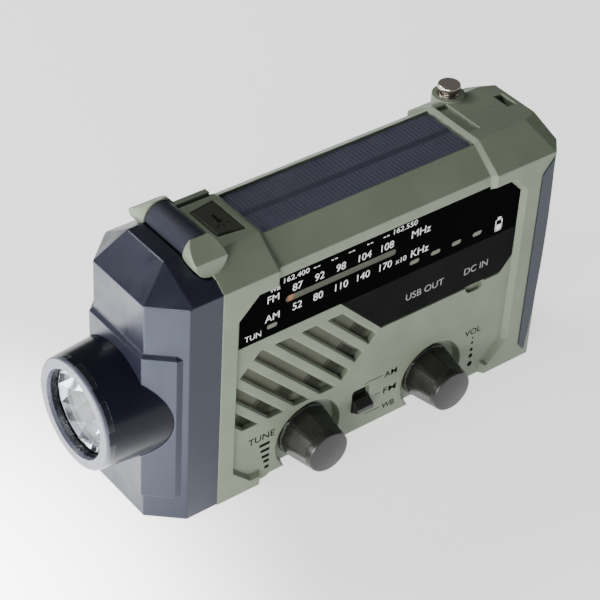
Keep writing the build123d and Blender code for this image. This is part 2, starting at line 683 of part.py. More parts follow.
# ---------------------------------------------------------------------------
# Dial: black panel, clear window, pointer on its rail, light pipes and lamps
# ---------------------------------------------------------------------------
SCALE_MID = (SCALE_LEFT + SCALE_RIGHT) / 2
SCALE_LENGTH = SCALE_RIGHT - SCALE_LEFT
SCALE_H = 2.4
POINTER_X = -20.0

with BuildPart() as dial_panel:
    with BuildSketch(front_plane(-WAIST_HALF + DIAL_T)):
        Polygon(*DIAL, align=None)
        offset(amount=-0.08, kind=Kind.INTERSECTION)
        with Locations((SCALE_MID, SCALE_Z)):
            SlotOverall(SCALE_LENGTH, SCALE_H, mode=Mode.SUBTRACT)
        with Locations(*[(x, LAMP_Z) for x in LAMP_XS]):
            SlotOverall(4.0, 1.8, mode=Mode.SUBTRACT)
    extrude(amount=DIAL_T)
save(dial_panel.part, "dial_panel")

with BuildPart() as dial_window:
    with BuildSketch(front_plane(-WAIST_HALF + 1.0)):
        with Locations((SCALE_MID, SCALE_Z)):
            SlotOverall(SCALE_LENGTH - 0.1, SCALE_H - 0.1)
    extrude(amount=0.9)
save(dial_window.part, "dial_window")

with BuildPart() as tuning_pointer:
    with Locations((POINTER_X, -18.2, SCALE_Z)):
        Box(1.3, 0.9, 4.0)
    with Locations((POINTER_X, -16.6, SCALE_Z)):
        Box(6.0, 2.4, 5.0)
    with Locations(Location((POINTER_X, POINTER_RAIL_Y, SCALE_Z), (0, 90, 0))):
        Cylinder(0.6 + RUN_GAP, 10, mode=Mode.SUBTRACT)
save(tuning_pointer.part, "tuning_pointer")
save(rail, "pointer_rail")

with BuildPart() as light_pipes:
    with BuildSketch(front_plane(-9.2)):
        with Locations(*[(x, LAMP_Z) for x in LAMP_XS]):
            SlotOverall(4.0, 1.8)
    extrude(amount=WAIST_HALF - 9.3)
save(light_pipes.part, "light_pipes")

with BuildPart() as indicator_leds:
    with Locations(*[(x, BOARD_FRONT - 0.4, LAMP_Z) for x in LAMP_XS]):
        Box(2.0, 0.8, 1.25)
save(indicator_leds.part, "indicator_leds")

# ---------------------------------------------------------------------------
# Port flap and the sockets behind it
# ---------------------------------------------------------------------------
flap_back = -WAIST_HALF + FLAP_T
with BuildPart() as port_flap:
    with BuildSketch(front_plane(flap_back)):
        Polygon(*FLAP, align=None)
    extrude(amount=FLAP_T)
    with BuildSketch(front_plane(flap_back)):
        with Locations((USB_X, SOCKET_Z)):
            RectangleRounded(10.8, 3.4, 0.6)
        with Locations((DC_X, SOCKET_Z)):
            Circle(2.2)
    extrude(amount=-1.6)
    bottom = port_flap.edges().filter_by(Axis.X).group_by(Axis.Z)[0].group_by(Axis.Y)[0]
    chamfer(bottom, 0.4)
    # the pointed corner is only a thin skin, so that it clears its seat as it opens
    with Locations((0.6, flap_back - 0.6, HINGE_Z)):
        Box(4.0, 1.4, 8.0, mode=Mode.SUBTRACT)
save(port_flap.part, "port_flap")

socket_front = flap_back + 0.4
with BuildPart() as usb_socket:
    with BuildSketch(front_plane(BOARD_FRONT)):
        with Locations((USB_X, SOCKET_Z)):
            RectangleRounded(13.2, 5.8, 0.8)
    extrude(amount=BOARD_FRONT - socket_front)
    with BuildSketch(front_plane(socket_front)):
        with Locations((USB_X, SOCKET_Z)):
            RectangleRounded(12.4, 5.0, 0.4)
    extrude(amount=-9.0, mode=Mode.SUBTRACT)
    with Locations((USB_X, (BOARD_FRONT - 0.5 - 16.4) / 2, SOCKET_Z + 0.9)):
        Box(11.0, 7.9, 1.8)
save(usb_socket.part, "usb_socket")

with BuildPart() as dc_socket:
    with Locations((DC_X, (BOARD_FRONT - 15.9) / 2, SOCKET_Z)):
        Box(9.0, 15.9 + BOARD_FRONT, 9.0)
    with BuildSketch(front_plane(-15.9)):
        with Locations((DC_X, SOCKET_Z)):
            Circle(3.3)
    extrude(amount=-15.9 - socket_front)
    with BuildSketch(front_plane(socket_front)):
        with Locations((DC_X, SOCKET_Z)):
            Circle(2.8)
            Circle(1.0, mode=Mode.SUBTRACT)
    extrude(amount=-8.6, mode=Mode.SUBTRACT)
    with BuildSketch(front_plane(socket_front)):
        with Locations((DC_X, SOCKET_Z)):
            Circle(1.0)
    extrude(amount=-1.8, mode=Mode.SUBTRACT)
save(dc_socket.part, "dc_socket")

# ---------------------------------------------------------------------------
# Knobs, their shafts, and the tuning capacitor and volume control they turn
# ---------------------------------------------------------------------------
KNOB_BACK_Y = -WAIST_HALF + DISH_DEPTH - 0.4
SKIRT_T = 1.2
KNOB_TAPER = 9.6             # degrees of slope of the flats
SHAFT_FRONT_Y = -26.0
KNOB_DOME_R = 42.0


def make_knob(x):
    """Tapered knob with eight flats, a skirt at its back and a bore for its shaft."""
    skirt_y = KNOB_BACK_Y - SKIRT_T
    with BuildPart() as knob:
        with BuildSketch(Plane.YZ.offset(x)):
            Polygon((KNOB_BACK_Y, KNOB_Z), (KNOB_BACK_Y, KNOB_Z + KNOB_SKIRT_R),
                    (skirt_y, KNOB_Z + KNOB_SKIRT_R), (skirt_y, KNOB_Z + KNOB_BASE_R),
                    (KNOB_FACE_Y + 0.5, KNOB_Z + KNOB_CAP_R), (KNOB_FACE_Y, KNOB_Z + KNOB_CAP_R - 0.5),
                    (KNOB_FACE_Y - 0.6, KNOB_Z + KNOB_CAP_R - 0.5), (KNOB_FACE_Y - 0.6, KNOB_Z), align=None)
        revolve(axis=Axis((x, 0, KNOB_Z), (0, 1, 0)))
        for index in range(8):
            angle = 22.5 + 45 * index
            middle = Location((x, (skirt_y + KNOB_FACE_Y) / 2 + 0.6, KNOB_Z), (0, angle, 0))
            with Locations(middle * Location((0, 0, KNOB_BASE_R - 1.3 + 5), (KNOB_TAPER, 0, 0))):
                Box(20, skirt_y - KNOB_FACE_Y - 2.0, 10, mode=Mode.SUBTRACT)
        # the face bulges slightly
        with Locations((x, KNOB_FACE_Y - 0.5 + KNOB_DOME_R, KNOB_Z)):
            Sphere(KNOB_DOME_R, mode=Mode.INTERSECT)
        with BuildSketch(front_plane(KNOB_BACK_Y)):
            with Locations((x, KNOB_Z)):
                Circle(SHAFT_R + RUN_GAP)
        extrude(amount=KNOB_BACK_Y - SHAFT_FRONT_Y + 0.2, mode=Mode.SUBTRACT)
    return knob.part


def make_control(x, width, height):
    """Square rotary control on the board, with a bushing and a blind bore."""
    with BuildPart() as control:
        with Locations((x, BOARD_FRONT - 3.1, KNOB_Z)):
            Box(width, 6.2, height)
        with BuildSketch(front_plane(BOARD_FRONT - 6.2)):
            with Locations((x, KNOB_Z)):
                Circle(4.4)
        extrude(amount=0.8)
        with BuildSketch(front_plane(BOARD_FRONT - 7.0)):
            with Locations((x, KNOB_Z)):
                Circle(SHAFT_R + RUN_GAP)
        extrude(amount=-6.0, mode=Mode.SUBTRACT)
    return control.part


save(make_knob(TUNE_X), "tune_knob")
save(make_knob(VOLUME_X), "volume_knob")
save(rod(TUNE_X, KNOB_Z, SHAFT_R, SHAFT_FRONT_Y, BOARD_FRONT - 1.2), "tuning_shaft")
save(rod(VOLUME_X, KNOB_Z, SHAFT_R, SHAFT_FRONT_Y, BOARD_FRONT - 1.2), "volume_shaft")
save(make_control(TUNE_X, 15.0, 12.6), "tuning_capacitor")
save(make_control(VOLUME_X, 12.0, 12.0), "volume_control")

# ---------------------------------------------------------------------------
# Band switch
# ---------------------------------------------------------------------------
nub_z = SWITCH_LOW_Z + NUB_H / 2
with BuildPart() as band_slider:
    with BuildSketch(Plane.YZ.offset(SWITCH_X - SWITCH_W / 2)):
        Polygon((-17.6, nub_z - 2.4), (-20.4, nub_z - 2.4), (-23.2, nub_z - 1.0), (-23.2, nub_z + 0.8),
                (-20.4, nub_z + 2.4), (-17.6, nub_z + 2.4), align=None)
    extrude(amount=SWITCH_W)
    fillet(band_slider.edges().filter_by(lambda e: e.center().Y < -20.0), 0.35)
    with Locations((SWITCH_X, -INNER + 0.8, nub_z)):
        Box(SWITCH_W + 3.0, 1.2, NUB_H + 6.8)
    with Locations((SWITCH_X, -14.6, nub_z)):
        Box(1.8, 5.4, 1.8)
save(band_slider.part, "band_slider")

with BuildPart() as band_switch:
    with Locations((SWITCH_X, BOARD_FRONT - 2.2, nub_z + 1.6)):
        Box(9.0, 4.4, 12.0)
    with Locations((SWITCH_X, BOARD_FRONT - 3.4, nub_z + 1.6)):
        Box(2.4, 4.2, 7.6, mode=Mode.SUBTRACT)
save(band_switch.part, "band_switch")

# ---------------------------------------------------------------------------
# Torch button on top, with its tact switch on a small board
# ---------------------------------------------------------------------------
BUTTON_MID = (-33.6, 0.4)
with BuildPart() as torch_button:
    with BuildSketch(Plane.XY.offset(BUTTON_FLANGE_Z)):
        Polygon(*BUTTON_OUTLINE, align=None)
    extrude(amount=BUTTON_Z - BUTTON_FLANGE_Z)
    top = torch_button.faces().sort_by(Axis.Z)[-1].edges()
    chamfer(top, 0.4)
    with BuildSketch(Plane.XY.offset(BUTTON_FLANGE_Z)):
        Polygon(*BUTTON_OUTLINE, align=None)
        offset(amount=1.0, kind=Kind.INTERSECTION)
    extrude(amount=1.2)
    with BuildSketch(Plane.XY.offset(BUTTON_FLANGE_Z)):
        Polygon(*BUTTON_OUTLINE, align=None)
        offset(amount=-1.4, kind=Kind.INTERSECTION)
    extrude(amount=4.0, mode=Mode.SUBTRACT)
    with BuildSketch(Plane.XY.offset(BUTTON_FLANGE_Z)):
        with Locations(BUTTON_MID):
            Circle(1.6)
    extrude(amount=4.4)
save(torch_button.part, "torch_button")

with BuildPart() as button_switch:
    add(box((-42.0, -26.0), (-10.0, 10.0), (BUTTON_BOARD_Z, BUTTON_BOARD_Z + 1.4)))
    with Locations((*BUTTON_MID, BUTTON_BOARD_Z + 3.1)):
        Box(6.0, 6.0, 3.4)
    with Locations((*BUTTON_MID, BUTTON_BOARD_Z + 5.05)):
        Cylinder(1.6, 0.7)
save(button_switch.part, "button_switch")

# ---------------------------------------------------------------------------
# Speaker and grille cloth
# ---------------------------------------------------------------------------
CLOTH_BACK = -INNER + 0.6
CLOTH = [(-41.6, 55.0), (-1.0, 55.0), (15.2, 38.8), (0.8, 24.3), (-41.6, 24.3)]
save(slab(CLOTH, -INNER, CLOTH_BACK), "grille_cloth")


def speaker_ring(profile):
    """Solid of revolution about the speaker's axis, from (y, radius) points."""
    with BuildPart() as body:
        with BuildSketch(Plane.YZ.offset(SPEAKER_X)):
            with Locations((0, SPEAKER_Z)):
                Polygon(*profile, align=None)
        revolve(axis=Axis((SPEAKER_X, 0, SPEAKER_Z), (0, 1, 0)))
    return body.part


FLANGE = [(CLOTH_BACK, SPEAKER_R - 1.8), (CLOTH_BACK, SPEAKER_R), (CLOTH_BACK + 1.2, SPEAKER_R)]
BASKET = [(-7.8, 9.6), (-7.8, 10.4), (-1.4, 10.4), (-1.4, 0.0), (-8.8, 0.0), (-8.8, 8.4),
          (-15.6, SPEAKER_R - 1.8)]
save(speaker_ring(FLANGE + BASKET), "speaker_frame")
CONE_FRONT = [(-16.6, 0.0), (-16.0, 2.4), (-14.4, 3.8), (-12.4, 5.4), (-16.4, SPEAKER_R - 2.2)]
CONE_BACK = [(-15.7, SPEAKER_R - 2.0), (-11.6, 5.0), (-13.8, 3.2), (-15.4, 2.0), (-15.9, 0.0)]
save(speaker_ring(CONE_FRONT + CONE_BACK), "speaker_cone")

# ---------------------------------------------------------------------------
# Main board
# ---------------------------------------------------------------------------
with BuildPart() as main_board:
    with BuildSketch(front_plane(BOARD_BACK)):
        Polygon((-43.5, 3.8), (68.0, 3.8), (68.0, 75.0), (-43.5, 75.0), align=None)
        with Locations((SPEAKER_X, SPEAKER_Z)):
            Circle(SPEAKER_R + 1.0, mode=Mode.SUBTRACT)
        with Locations(*CASE_POSTS[:2]):
            Circle(POST_R + 0.5, mode=Mode.SUBTRACT)
    extrude(amount=BOARD_T)
    with BuildSketch(front_plane(BOARD_BACK)):
        with Locations(*BOARD_POSTS):
            Circle(PILOT_R + 0.2)
    extrude(amount=BOARD_T, mode=Mode.SUBTRACT)
save(main_board.part, "main_board")

with BuildPart() as board_chips:
    with Locations((44, BOARD_BACK + 0.6, 52), (44, BOARD_BACK + 0.6, 36)):
        Box(9, 1.2, 9)
    with Locations((26, BOARD_BACK + 0.8, 32), (57, BOARD_BACK + 0.8, 44)):
        Box(6, 1.6, 5)
save(board_chips.part, "board_chips")

# ---------------------------------------------------------------------------
# Crank, gear train and generator
# ---------------------------------------------------------------------------
PRESSURE = radians(20)


def involute(angle):
    return tan(angle) - angle


def gear_outline(teeth, phase):
    """Points of a spur wheel with one tooth centred at phase, in degrees."""
    pitch_r = MODULE * teeth / 2
    base_r = pitch_r * cos(PRESSURE)
    tip_r = pitch_r + 0.8 * MODULE
    root_r = pitch_r - 1.1 * MODULE
    low_r = max(base_r, root_r)
    half_pitch = 0.44 * pi / teeth
    flank = []
    for step in range(4):
        radius = low_r + (tip_r - low_r) * step / 3
        half = half_pitch + involute(PRESSURE) - involute(acos(min(1.0, base_r / radius)))
        flank.append((radius, half))
    flank.insert(0, (root_r, flank[0][1]))
    points = []
    for index in range(teeth):
        middle = radians(phase) + 2 * pi * index / teeth
        side = [(r, middle - half) for r, half in flank]
        side += [(r, middle + half) for r, half in reversed(flank)]
        points += [(r * cos(a), r * sin(a)) for r, a in side]
    return points


def wheel(teeth, phase, centre, y, bore):
    """Spur wheel at centre (x, z), from depth y to y + GEAR_T."""
    with BuildPart() as gear:
        with BuildSketch(front_plane(y + GEAR_T)):
            with Locations(centre):
                Polygon(*gear_outline(teeth, phase), align=None)
                if bore:
                    Circle(bore, mode=Mode.SUBTRACT)
        extrude(amount=GEAR_T)
    return gear.part


def centre_distance(teeth_a, teeth_b):
    return MODULE * (teeth_a + teeth_b) / 2


IDLER_X = CRANK_X - centre_distance(DRIVE_TEETH, IDLER_SMALL_TEETH)
IDLER_Z = CRANK_Z
PINION_X = IDLER_X + centre_distance(IDLER_BIG_TEETH, PINION_TEETH) * cos(radians(PINION_ANGLE))
PINION_Z = IDLER_Z + centre_distance(IDLER_BIG_TEETH, PINION_TEETH) * sin(radians(PINION_ANGLE))
IDLER_PIN_R = 1.5
HUB_R = 4.0

save(wheel(DRIVE_TEETH, 180.0, (CRANK_X, CRANK_Z), FAR_GEAR_Y, HUB_R + 0.02), "drive_gear")
small_wheel = wheel(IDLER_SMALL_TEETH, 180.0 / IDLER_SMALL_TEETH, (IDLER_X, IDLER_Z), FAR_GEAR_Y, 0)
big_wheel = wheel(IDLER_BIG_TEETH, PINION_ANGLE, (IDLER_X, IDLER_Z), NEAR_GEAR_Y, 0)
hub = rod(IDLER_X, IDLER_Z, 4.2, NEAR_GEAR_Y, FAR_GEAR_Y)

with BuildPart() as idler_gear:
    add([small_wheel, big_wheel, hub])
    with BuildSketch(front_plane(FAR_GEAR_Y + GEAR_T)):
        with Locations((IDLER_X, IDLER_Z)):
            Circle(IDLER_PIN_R + RUN_GAP)
    extrude(amount=20, mode=Mode.SUBTRACT)
save(idler_gear.part, "idler_gear")

pinion_phase = PINION_ANGLE + 180 + 180.0 / PINION_TEETH
pinion_wheel = wheel(PINION_TEETH, pinion_phase, (PINION_X, PINION_Z), NEAR_GEAR_Y, 0)
rotor_shaft = rod(PINION_X, PINION_Z, 1.2, 2.2, NEAR_GEAR_Y)
with BuildPart() as generator_pinion:
    add([pinion_wheel, rotor_shaft])
save(generator_pinion.part, "generator_pinion")

save(rod(IDLER_X, IDLER_Z, IDLER_PIN_R, PLATE_Y, FAR_GEAR_Y + GEAR_T + 0.6), "idler_pin")

with BuildPart() as generator:
    with BuildSketch(front_plane(PLATE_Y)):
        with Locations((PINION_X, PINION_Z)):
            Circle(9.8)
    extrude(amount=PLATE_Y + 4.0)
    with BuildSketch(front_plane(PLATE_Y)):
        with Locations((PINION_X, PINION_Z)):
            Circle(1.2 + RUN_GAP)
    extrude(amount=3.0, mode=Mode.SUBTRACT)
save(generator.part, "generator")

with BuildPart() as gearbox_plate:
    with BuildSketch(front_plane(PLATE_Y + PLATE_T)):
        Polygon((-32, 24.6), (58, 24.6), (58, 72.4), (-32, 72.4), align=None)
        with Locations((PINION_X, PINION_Z)):
            Circle(2.2, mode=Mode.SUBTRACT)
        with Locations((IDLER_X, IDLER_Z)):
            Circle(IDLER_PIN_R, mode=Mode.SUBTRACT)
        with Locations((CRANK_X, CRANK_Z)):
            Circle(SHAFT_R + RUN_GAP, mode=Mode.SUBTRACT)
        with Locations(*PLATE_POSTS):
            Circle(PILOT_R + 0.2, mode=Mode.SUBTRACT)
    extrude(amount=PLATE_T)
save(gearbox_plate.part, "gearbox_plate")

far_shaft = rod(CRANK_X, CRANK_Z, HUB_R, FAR_GEAR_Y, 18.6)
near_shaft = rod(CRANK_X, CRANK_Z, SHAFT_R, PLATE_Y, FAR_GEAR_Y)
with BuildPart() as crank_shaft:
    add([far_shaft, near_shaft])
save(crank_shaft.part, "crank_shaft")

bush_flange = rod(CRANK_X, CRANK_Z, 7.0, 12.9, CRANK_DISH_Y - 2)
bush_sleeve = rod(CRANK_X, CRANK_Z, 5.6, CRANK_DISH_Y - 2, CRANK_DISH_Y + 0.1)
with BuildPart() as crank_bush:
    add([bush_flange, bush_sleeve])
    with BuildSketch(front_plane(17)):
        with Locations((CRANK_X, CRANK_Z)):
            Circle(HUB_R + RUN_GAP)
    extrude(amount=6, mode=Mode.SUBTRACT)
save(crank_bush.part, "crank_bush")

ARM_Y = CRANK_DISH_Y + 0.5
ARM_T = 3.8
CRANK_KNOB_X = CRANK_X + CRANK_REACH
with BuildPart() as crank_arm:
    with BuildSketch(front_plane(ARM_Y + ARM_T)):
        with Locations((CRANK_X, CRANK_Z)):
            Circle(8.0)
        with Locations((CRANK_KNOB_X, CRANK_Z)):
            Circle(6.6)
        make_hull()
    extrude(amount=ARM_T)
    rim = crank_arm.faces().sort_by(Axis.Y)[-1].edges()
    chamfer(rim, 0.8)
    with BuildSketch(front_plane(ARM_Y + ARM_T)):
        with Locations((CRANK_X + 13, CRANK_Z)):
            SlotOverall(15, 5)
    extrude(amount=1.4, mode=Mode.SUBTRACT)
    with BuildSketch(front_plane(18.7)):
        with Locations((CRANK_X, CRANK_Z)):
            Circle(HUB_R + 0.02)
    extrude(amount=4, mode=Mode.SUBTRACT)
    with BuildSketch(front_plane(ARM_Y + ARM_T)):
        with Locations((CRANK_KNOB_X, CRANK_Z)):
            Circle(2.02)
    extrude(amount=ARM_T, mode=Mode.SUBTRACT)
save(crank_arm.part, "crank_arm")
save(rod(CRANK_KNOB_X, CRANK_Z, 2.0, ARM_Y + 0.4, CRANK_KNOB_Y - 1.8), "crank_pin")

with BuildPart() as crank_knob:
    with BuildSketch(Plane.YZ.offset(CRANK_KNOB_X)):
        Polygon((20.6, CRANK_Z), (20.6, CRANK_Z + 5.4), (21.6, CRANK_Z + 6.2), (29.6, CRANK_Z + 6.6),
                (CRANK_KNOB_Y, CRANK_Z + 5.2), (CRANK_KNOB_Y, CRANK_Z), align=None)
    revolve(axis=Axis((CRANK_KNOB_X, 0, CRANK_Z), (0, 1, 0)))
    with BuildSketch(front_plane(30)):
        with Locations((CRANK_KNOB_X, CRANK_Z)):
            with PolarLocations(7.0, 12):
                Circle(0.8)
    extrude(amount=8, mode=Mode.SUBTRACT)
    with BuildSketch(front_plane(CRANK_KNOB_Y - 1.6)):
        with Locations((CRANK_KNOB_X, CRANK_Z)):
            Circle(2.0 + RUN_GAP)
    extrude(amount=12, mode=Mode.SUBTRACT)
save(crank_knob.part, "crank_knob")

# ---------------------------------------------------------------------------
# Battery, aerials, solar strip
# ---------------------------------------------------------------------------
CELL_R = 9.15
CELL_Y = 3.6
CELL_Z = 13.4
save(side_rod((-8.0, 57.0), CELL_Y, CELL_Z, CELL_R), "battery_cell")

with BuildPart() as battery_holder:
    with Locations((24.5, CELL_Y, 11.9)):
        Box(71.0, 15.0, 17.4)
    with Locations((24.5, CELL_Y, CELL_Z)):
        Box(65.0, 16.0, 18.3, mode=Mode.SUBTRACT)
save(battery_holder.part, "battery_holder")


def aerial_tube(index, low, high):
    """One aerial tube; each fits inside the one before it."""
    radius = AERIAL_RADII[index]
    with BuildPart() as tube:
        with BuildSketch(Plane.XY.offset(low)):
            with Locations((AERIAL_X, AERIAL_Y)):
                Circle(radius)
                if index < 3:
                    Circle(radius - AERIAL_WALL, mode=Mode.SUBTRACT)
        extrude(amount=high - low)
    return tube.part


for index, name in enumerate(["aerial_base", "aerial_tube_1", "aerial_tube_2", "aerial_tube_3"]):
    save(aerial_tube(index, AERIAL_BASE_Z + index, 90.6 + 0.4 * index), name)

with BuildPart() as aerial_tip:
    for z, radius, height in ((AERIAL_TIP_Z, 3.2, 1.2), (AERIAL_TIP_Z + 1.1, 3.8, 1.8)):
        with BuildSketch(Plane.XY.offset(z)):
            with Locations((AERIAL_X, AERIAL_Y)):
                Circle(radius)
        extrude(amount=height)
    rims = aerial_tip.edges().filter_by(GeomType.CIRCLE).filter_by(lambda e: e.radius > 3.7)
    fillet(rims, 0.5)
save(aerial_tip.part, "aerial_tip")

with BuildPart() as aerial_clips:
    with Locations((AERIAL_X, 13.4, 32.0), (AERIAL_X, 13.4, 62.0)):
        Box(10.0, 9.2, 6.0)
    with Locations((AERIAL_X, AERIAL_Y, 47.0)):
        Cylinder(AERIAL_RADII[0], 60, mode=Mode.SUBTRACT)
save(aerial_clips.part, "aerial_clips")

save(side_rod((-10.0, 52.0), 10.4, 76.1, 3.2), "ferrite_rod")

SOLAR_X = 15.5
SOLAR_FLOOR = WAIST_TOP_Z - 1.4
with BuildPart() as solar_cells:
    with BuildSketch(Plane.XY.offset(SOLAR_FLOOR)):
        with Locations((SOLAR_X, 0)):
            with GridLocations(20.3, 10.8, 4, 2):
                Rectangle(19.9, 10.5)
    extrude(amount=0.5)
save(solar_cells.part, "solar_cells")
save(box((-25.3, 56.3), (-11.0, 11.0), (SOLAR_FLOOR + 0.5, SOLAR_FLOOR + 1.35)), "solar_cover")


# ---------------------------------------------------------------------------
# Screws: a shank and a pan head each, one node per kind
# ---------------------------------------------------------------------------
def screws_along_y(places, head_y, direction, length, head_r, head_t):
    """Screws at (x, z) places; the shank runs from head_y towards direction."""
    with BuildPart() as screws:
        for (x, z), y in zip(places, head_y):
            for radius, reach in ((head_r, -head_t), (PILOT_R - 0.02, length)):
                with BuildSketch(front_plane(y)):
                    with Locations((x, z)):
                        Circle(radius)
                extrude(amount=-direction * reach)
    return screws.part


case_heads = [screw_seat_y(x) - 2.4 for x, z in CASE_POSTS]
with BuildPart() as case_screws:
    add(screws_along_y(CASE_POSTS, case_heads, -1, 26.0, 2.4, 1.6))
    for (x, z), y in zip(CASE_POSTS, case_heads):
        with Locations((x, y + 1.6, z)):
            Box(3.0, 1.6, 0.7, mode=Mode.SUBTRACT)
            Box(0.7, 1.6, 3.0, mode=Mode.SUBTRACT)
save(case_screws.part, "case_screws")
save(screws_along_y(BOARD_POSTS, [BOARD_BACK] * 4, -1, 7.0, 2.2, 1.3), "board_screws")
save(screws_along_y(PLATE_POSTS, [PLATE_Y] * 4, 1, 7.0, 2.2, 1.3), "gearbox_screws")

with BuildPart() as cap_screws:
    for y, z in CAP_POSTS:
        for radius, reach in ((2.1, 1.4), (PILOT_R - 0.02, -9.0)):
            with BuildSketch(Plane.YZ.offset(CASE_LEFT + WALL)):
                with Locations((y, z)):
                    Circle(radius)
            extrude(amount=reach)
save(cap_screws.part, "cap_screws")
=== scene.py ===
import bpy
import bmesh
import json
import math
from mathutils import Matrix, Vector


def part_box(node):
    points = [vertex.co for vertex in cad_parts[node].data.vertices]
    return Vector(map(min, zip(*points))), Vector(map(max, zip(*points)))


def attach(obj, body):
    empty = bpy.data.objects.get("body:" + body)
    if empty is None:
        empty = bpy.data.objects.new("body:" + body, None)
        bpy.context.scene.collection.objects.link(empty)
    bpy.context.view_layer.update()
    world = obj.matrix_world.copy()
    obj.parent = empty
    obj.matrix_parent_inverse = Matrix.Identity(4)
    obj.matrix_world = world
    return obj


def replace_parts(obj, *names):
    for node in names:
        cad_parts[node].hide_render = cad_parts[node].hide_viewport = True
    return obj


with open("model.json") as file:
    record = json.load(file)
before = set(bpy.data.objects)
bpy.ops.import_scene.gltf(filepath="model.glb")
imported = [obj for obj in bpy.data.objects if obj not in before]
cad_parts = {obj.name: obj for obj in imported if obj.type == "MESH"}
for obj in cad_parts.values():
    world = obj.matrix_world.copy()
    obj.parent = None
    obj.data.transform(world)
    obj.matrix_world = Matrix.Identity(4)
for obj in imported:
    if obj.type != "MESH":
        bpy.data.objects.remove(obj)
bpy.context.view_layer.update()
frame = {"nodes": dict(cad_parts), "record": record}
MM = 0.001

# ---------------------------------------------------------------------------
# Camera and light, in metres and degrees
# ---------------------------------------------------------------------------
scene = bpy.context.scene
CAMERA_PLACE = (-0.3254, -0.3886, 0.4504)
CAMERA_FORWARD = (0.5011, 0.5993, -0.6243)
CAMERA_ROLL = 3.58
LENS_MM = 124.56
SENSOR_MM = 36.0
LAMP_TARGET = Vector((0, 0, 0.05))
LAMP_WIDTH = 0.45
LAMP_HEIGHT = 0.35
WORLD_STRENGTH = 0.17


def look(forward, roll=0.0):
    """Rotation of a camera or lamp that faces forward."""
    forward = Vector(forward).normalized()
    right = forward.cross(Vector((0, 0, 1))).normalized()
    up = right.cross(forward)
    tilt = math.radians(roll)
    across = right * math.cos(tilt) + up * math.sin(tilt)
    above = up * math.cos(tilt) - right * math.sin(tilt)
    return Matrix((across, above, -forward)).transposed().to_4x4()


def add_camera():
    """The picture's own view."""
    data = bpy.data.cameras.new("camera")
    data.lens = LENS_MM
    data.sensor_width = SENSOR_MM
    camera = bpy.data.objects.new("camera", data)
    camera.matrix_world = Matrix.Translation(CAMERA_PLACE) @ look(CAMERA_FORWARD, CAMERA_ROLL)
    scene.collection.objects.link(camera)
    scene.camera = camera


def add_softbox(name, place, watts):
    """A white lamp of one fixed size that faces the radio."""
    data = bpy.data.lights.new(name, "AREA")
    data.shape = "RECTANGLE"
    data.size = LAMP_WIDTH
    data.size_y = LAMP_HEIGHT
    data.energy = watts
    lamp = bpy.data.objects.new(name, data)
    place = Vector(place)
    lamp.matrix_world = Matrix.Translation(place) @ look(LAMP_TARGET - place)
    scene.collection.objects.link(lamp)


def add_world(strength):
    """Even white light from all sides."""
    world = bpy.data.worlds.new("studio")
    world.use_nodes = True
    sky = world.node_tree.nodes["Background"]
    sky.inputs["Color"].default_value = (1, 1, 1, 1)
    sky.inputs["Strength"].default_value = strength
    scene.world = world


# ---------------------------------------------------------------------------
# Materials: lengths in metres, noise scales in cells per metre
# ---------------------------------------------------------------------------
OPEN_FACE = 0.995            # dot product of the rounded and the true normal on an open face
SHARP_EDGE = 0.86            # and on a sharp edge
EDGE_REACH = 1.6             # width of the paler edge, worn and with a painted highlight, against the edge's radius
MOTTLE_SCALE = 55
SPECK_SCALE = 1500
SCUFF_SCALE = 240
POLISH_SCALE = 130
SMEAR_SCALE = 70
PEEL_SCALE = 420
GRAIN_DEPTH = 0.00003
METAL_EDGE = 0.00015
BRUSH_SCALE = 1800
TARNISH_SCALE = 90
DUST_SCALE = 700
PAINTED_REFLECTION_DEPTH = 0.0011          # depth of the torch ring's front, painted grey as a reflection
PAINTED_REFLECTION_FADE = 0.0004           # over which the painted reflection dies out
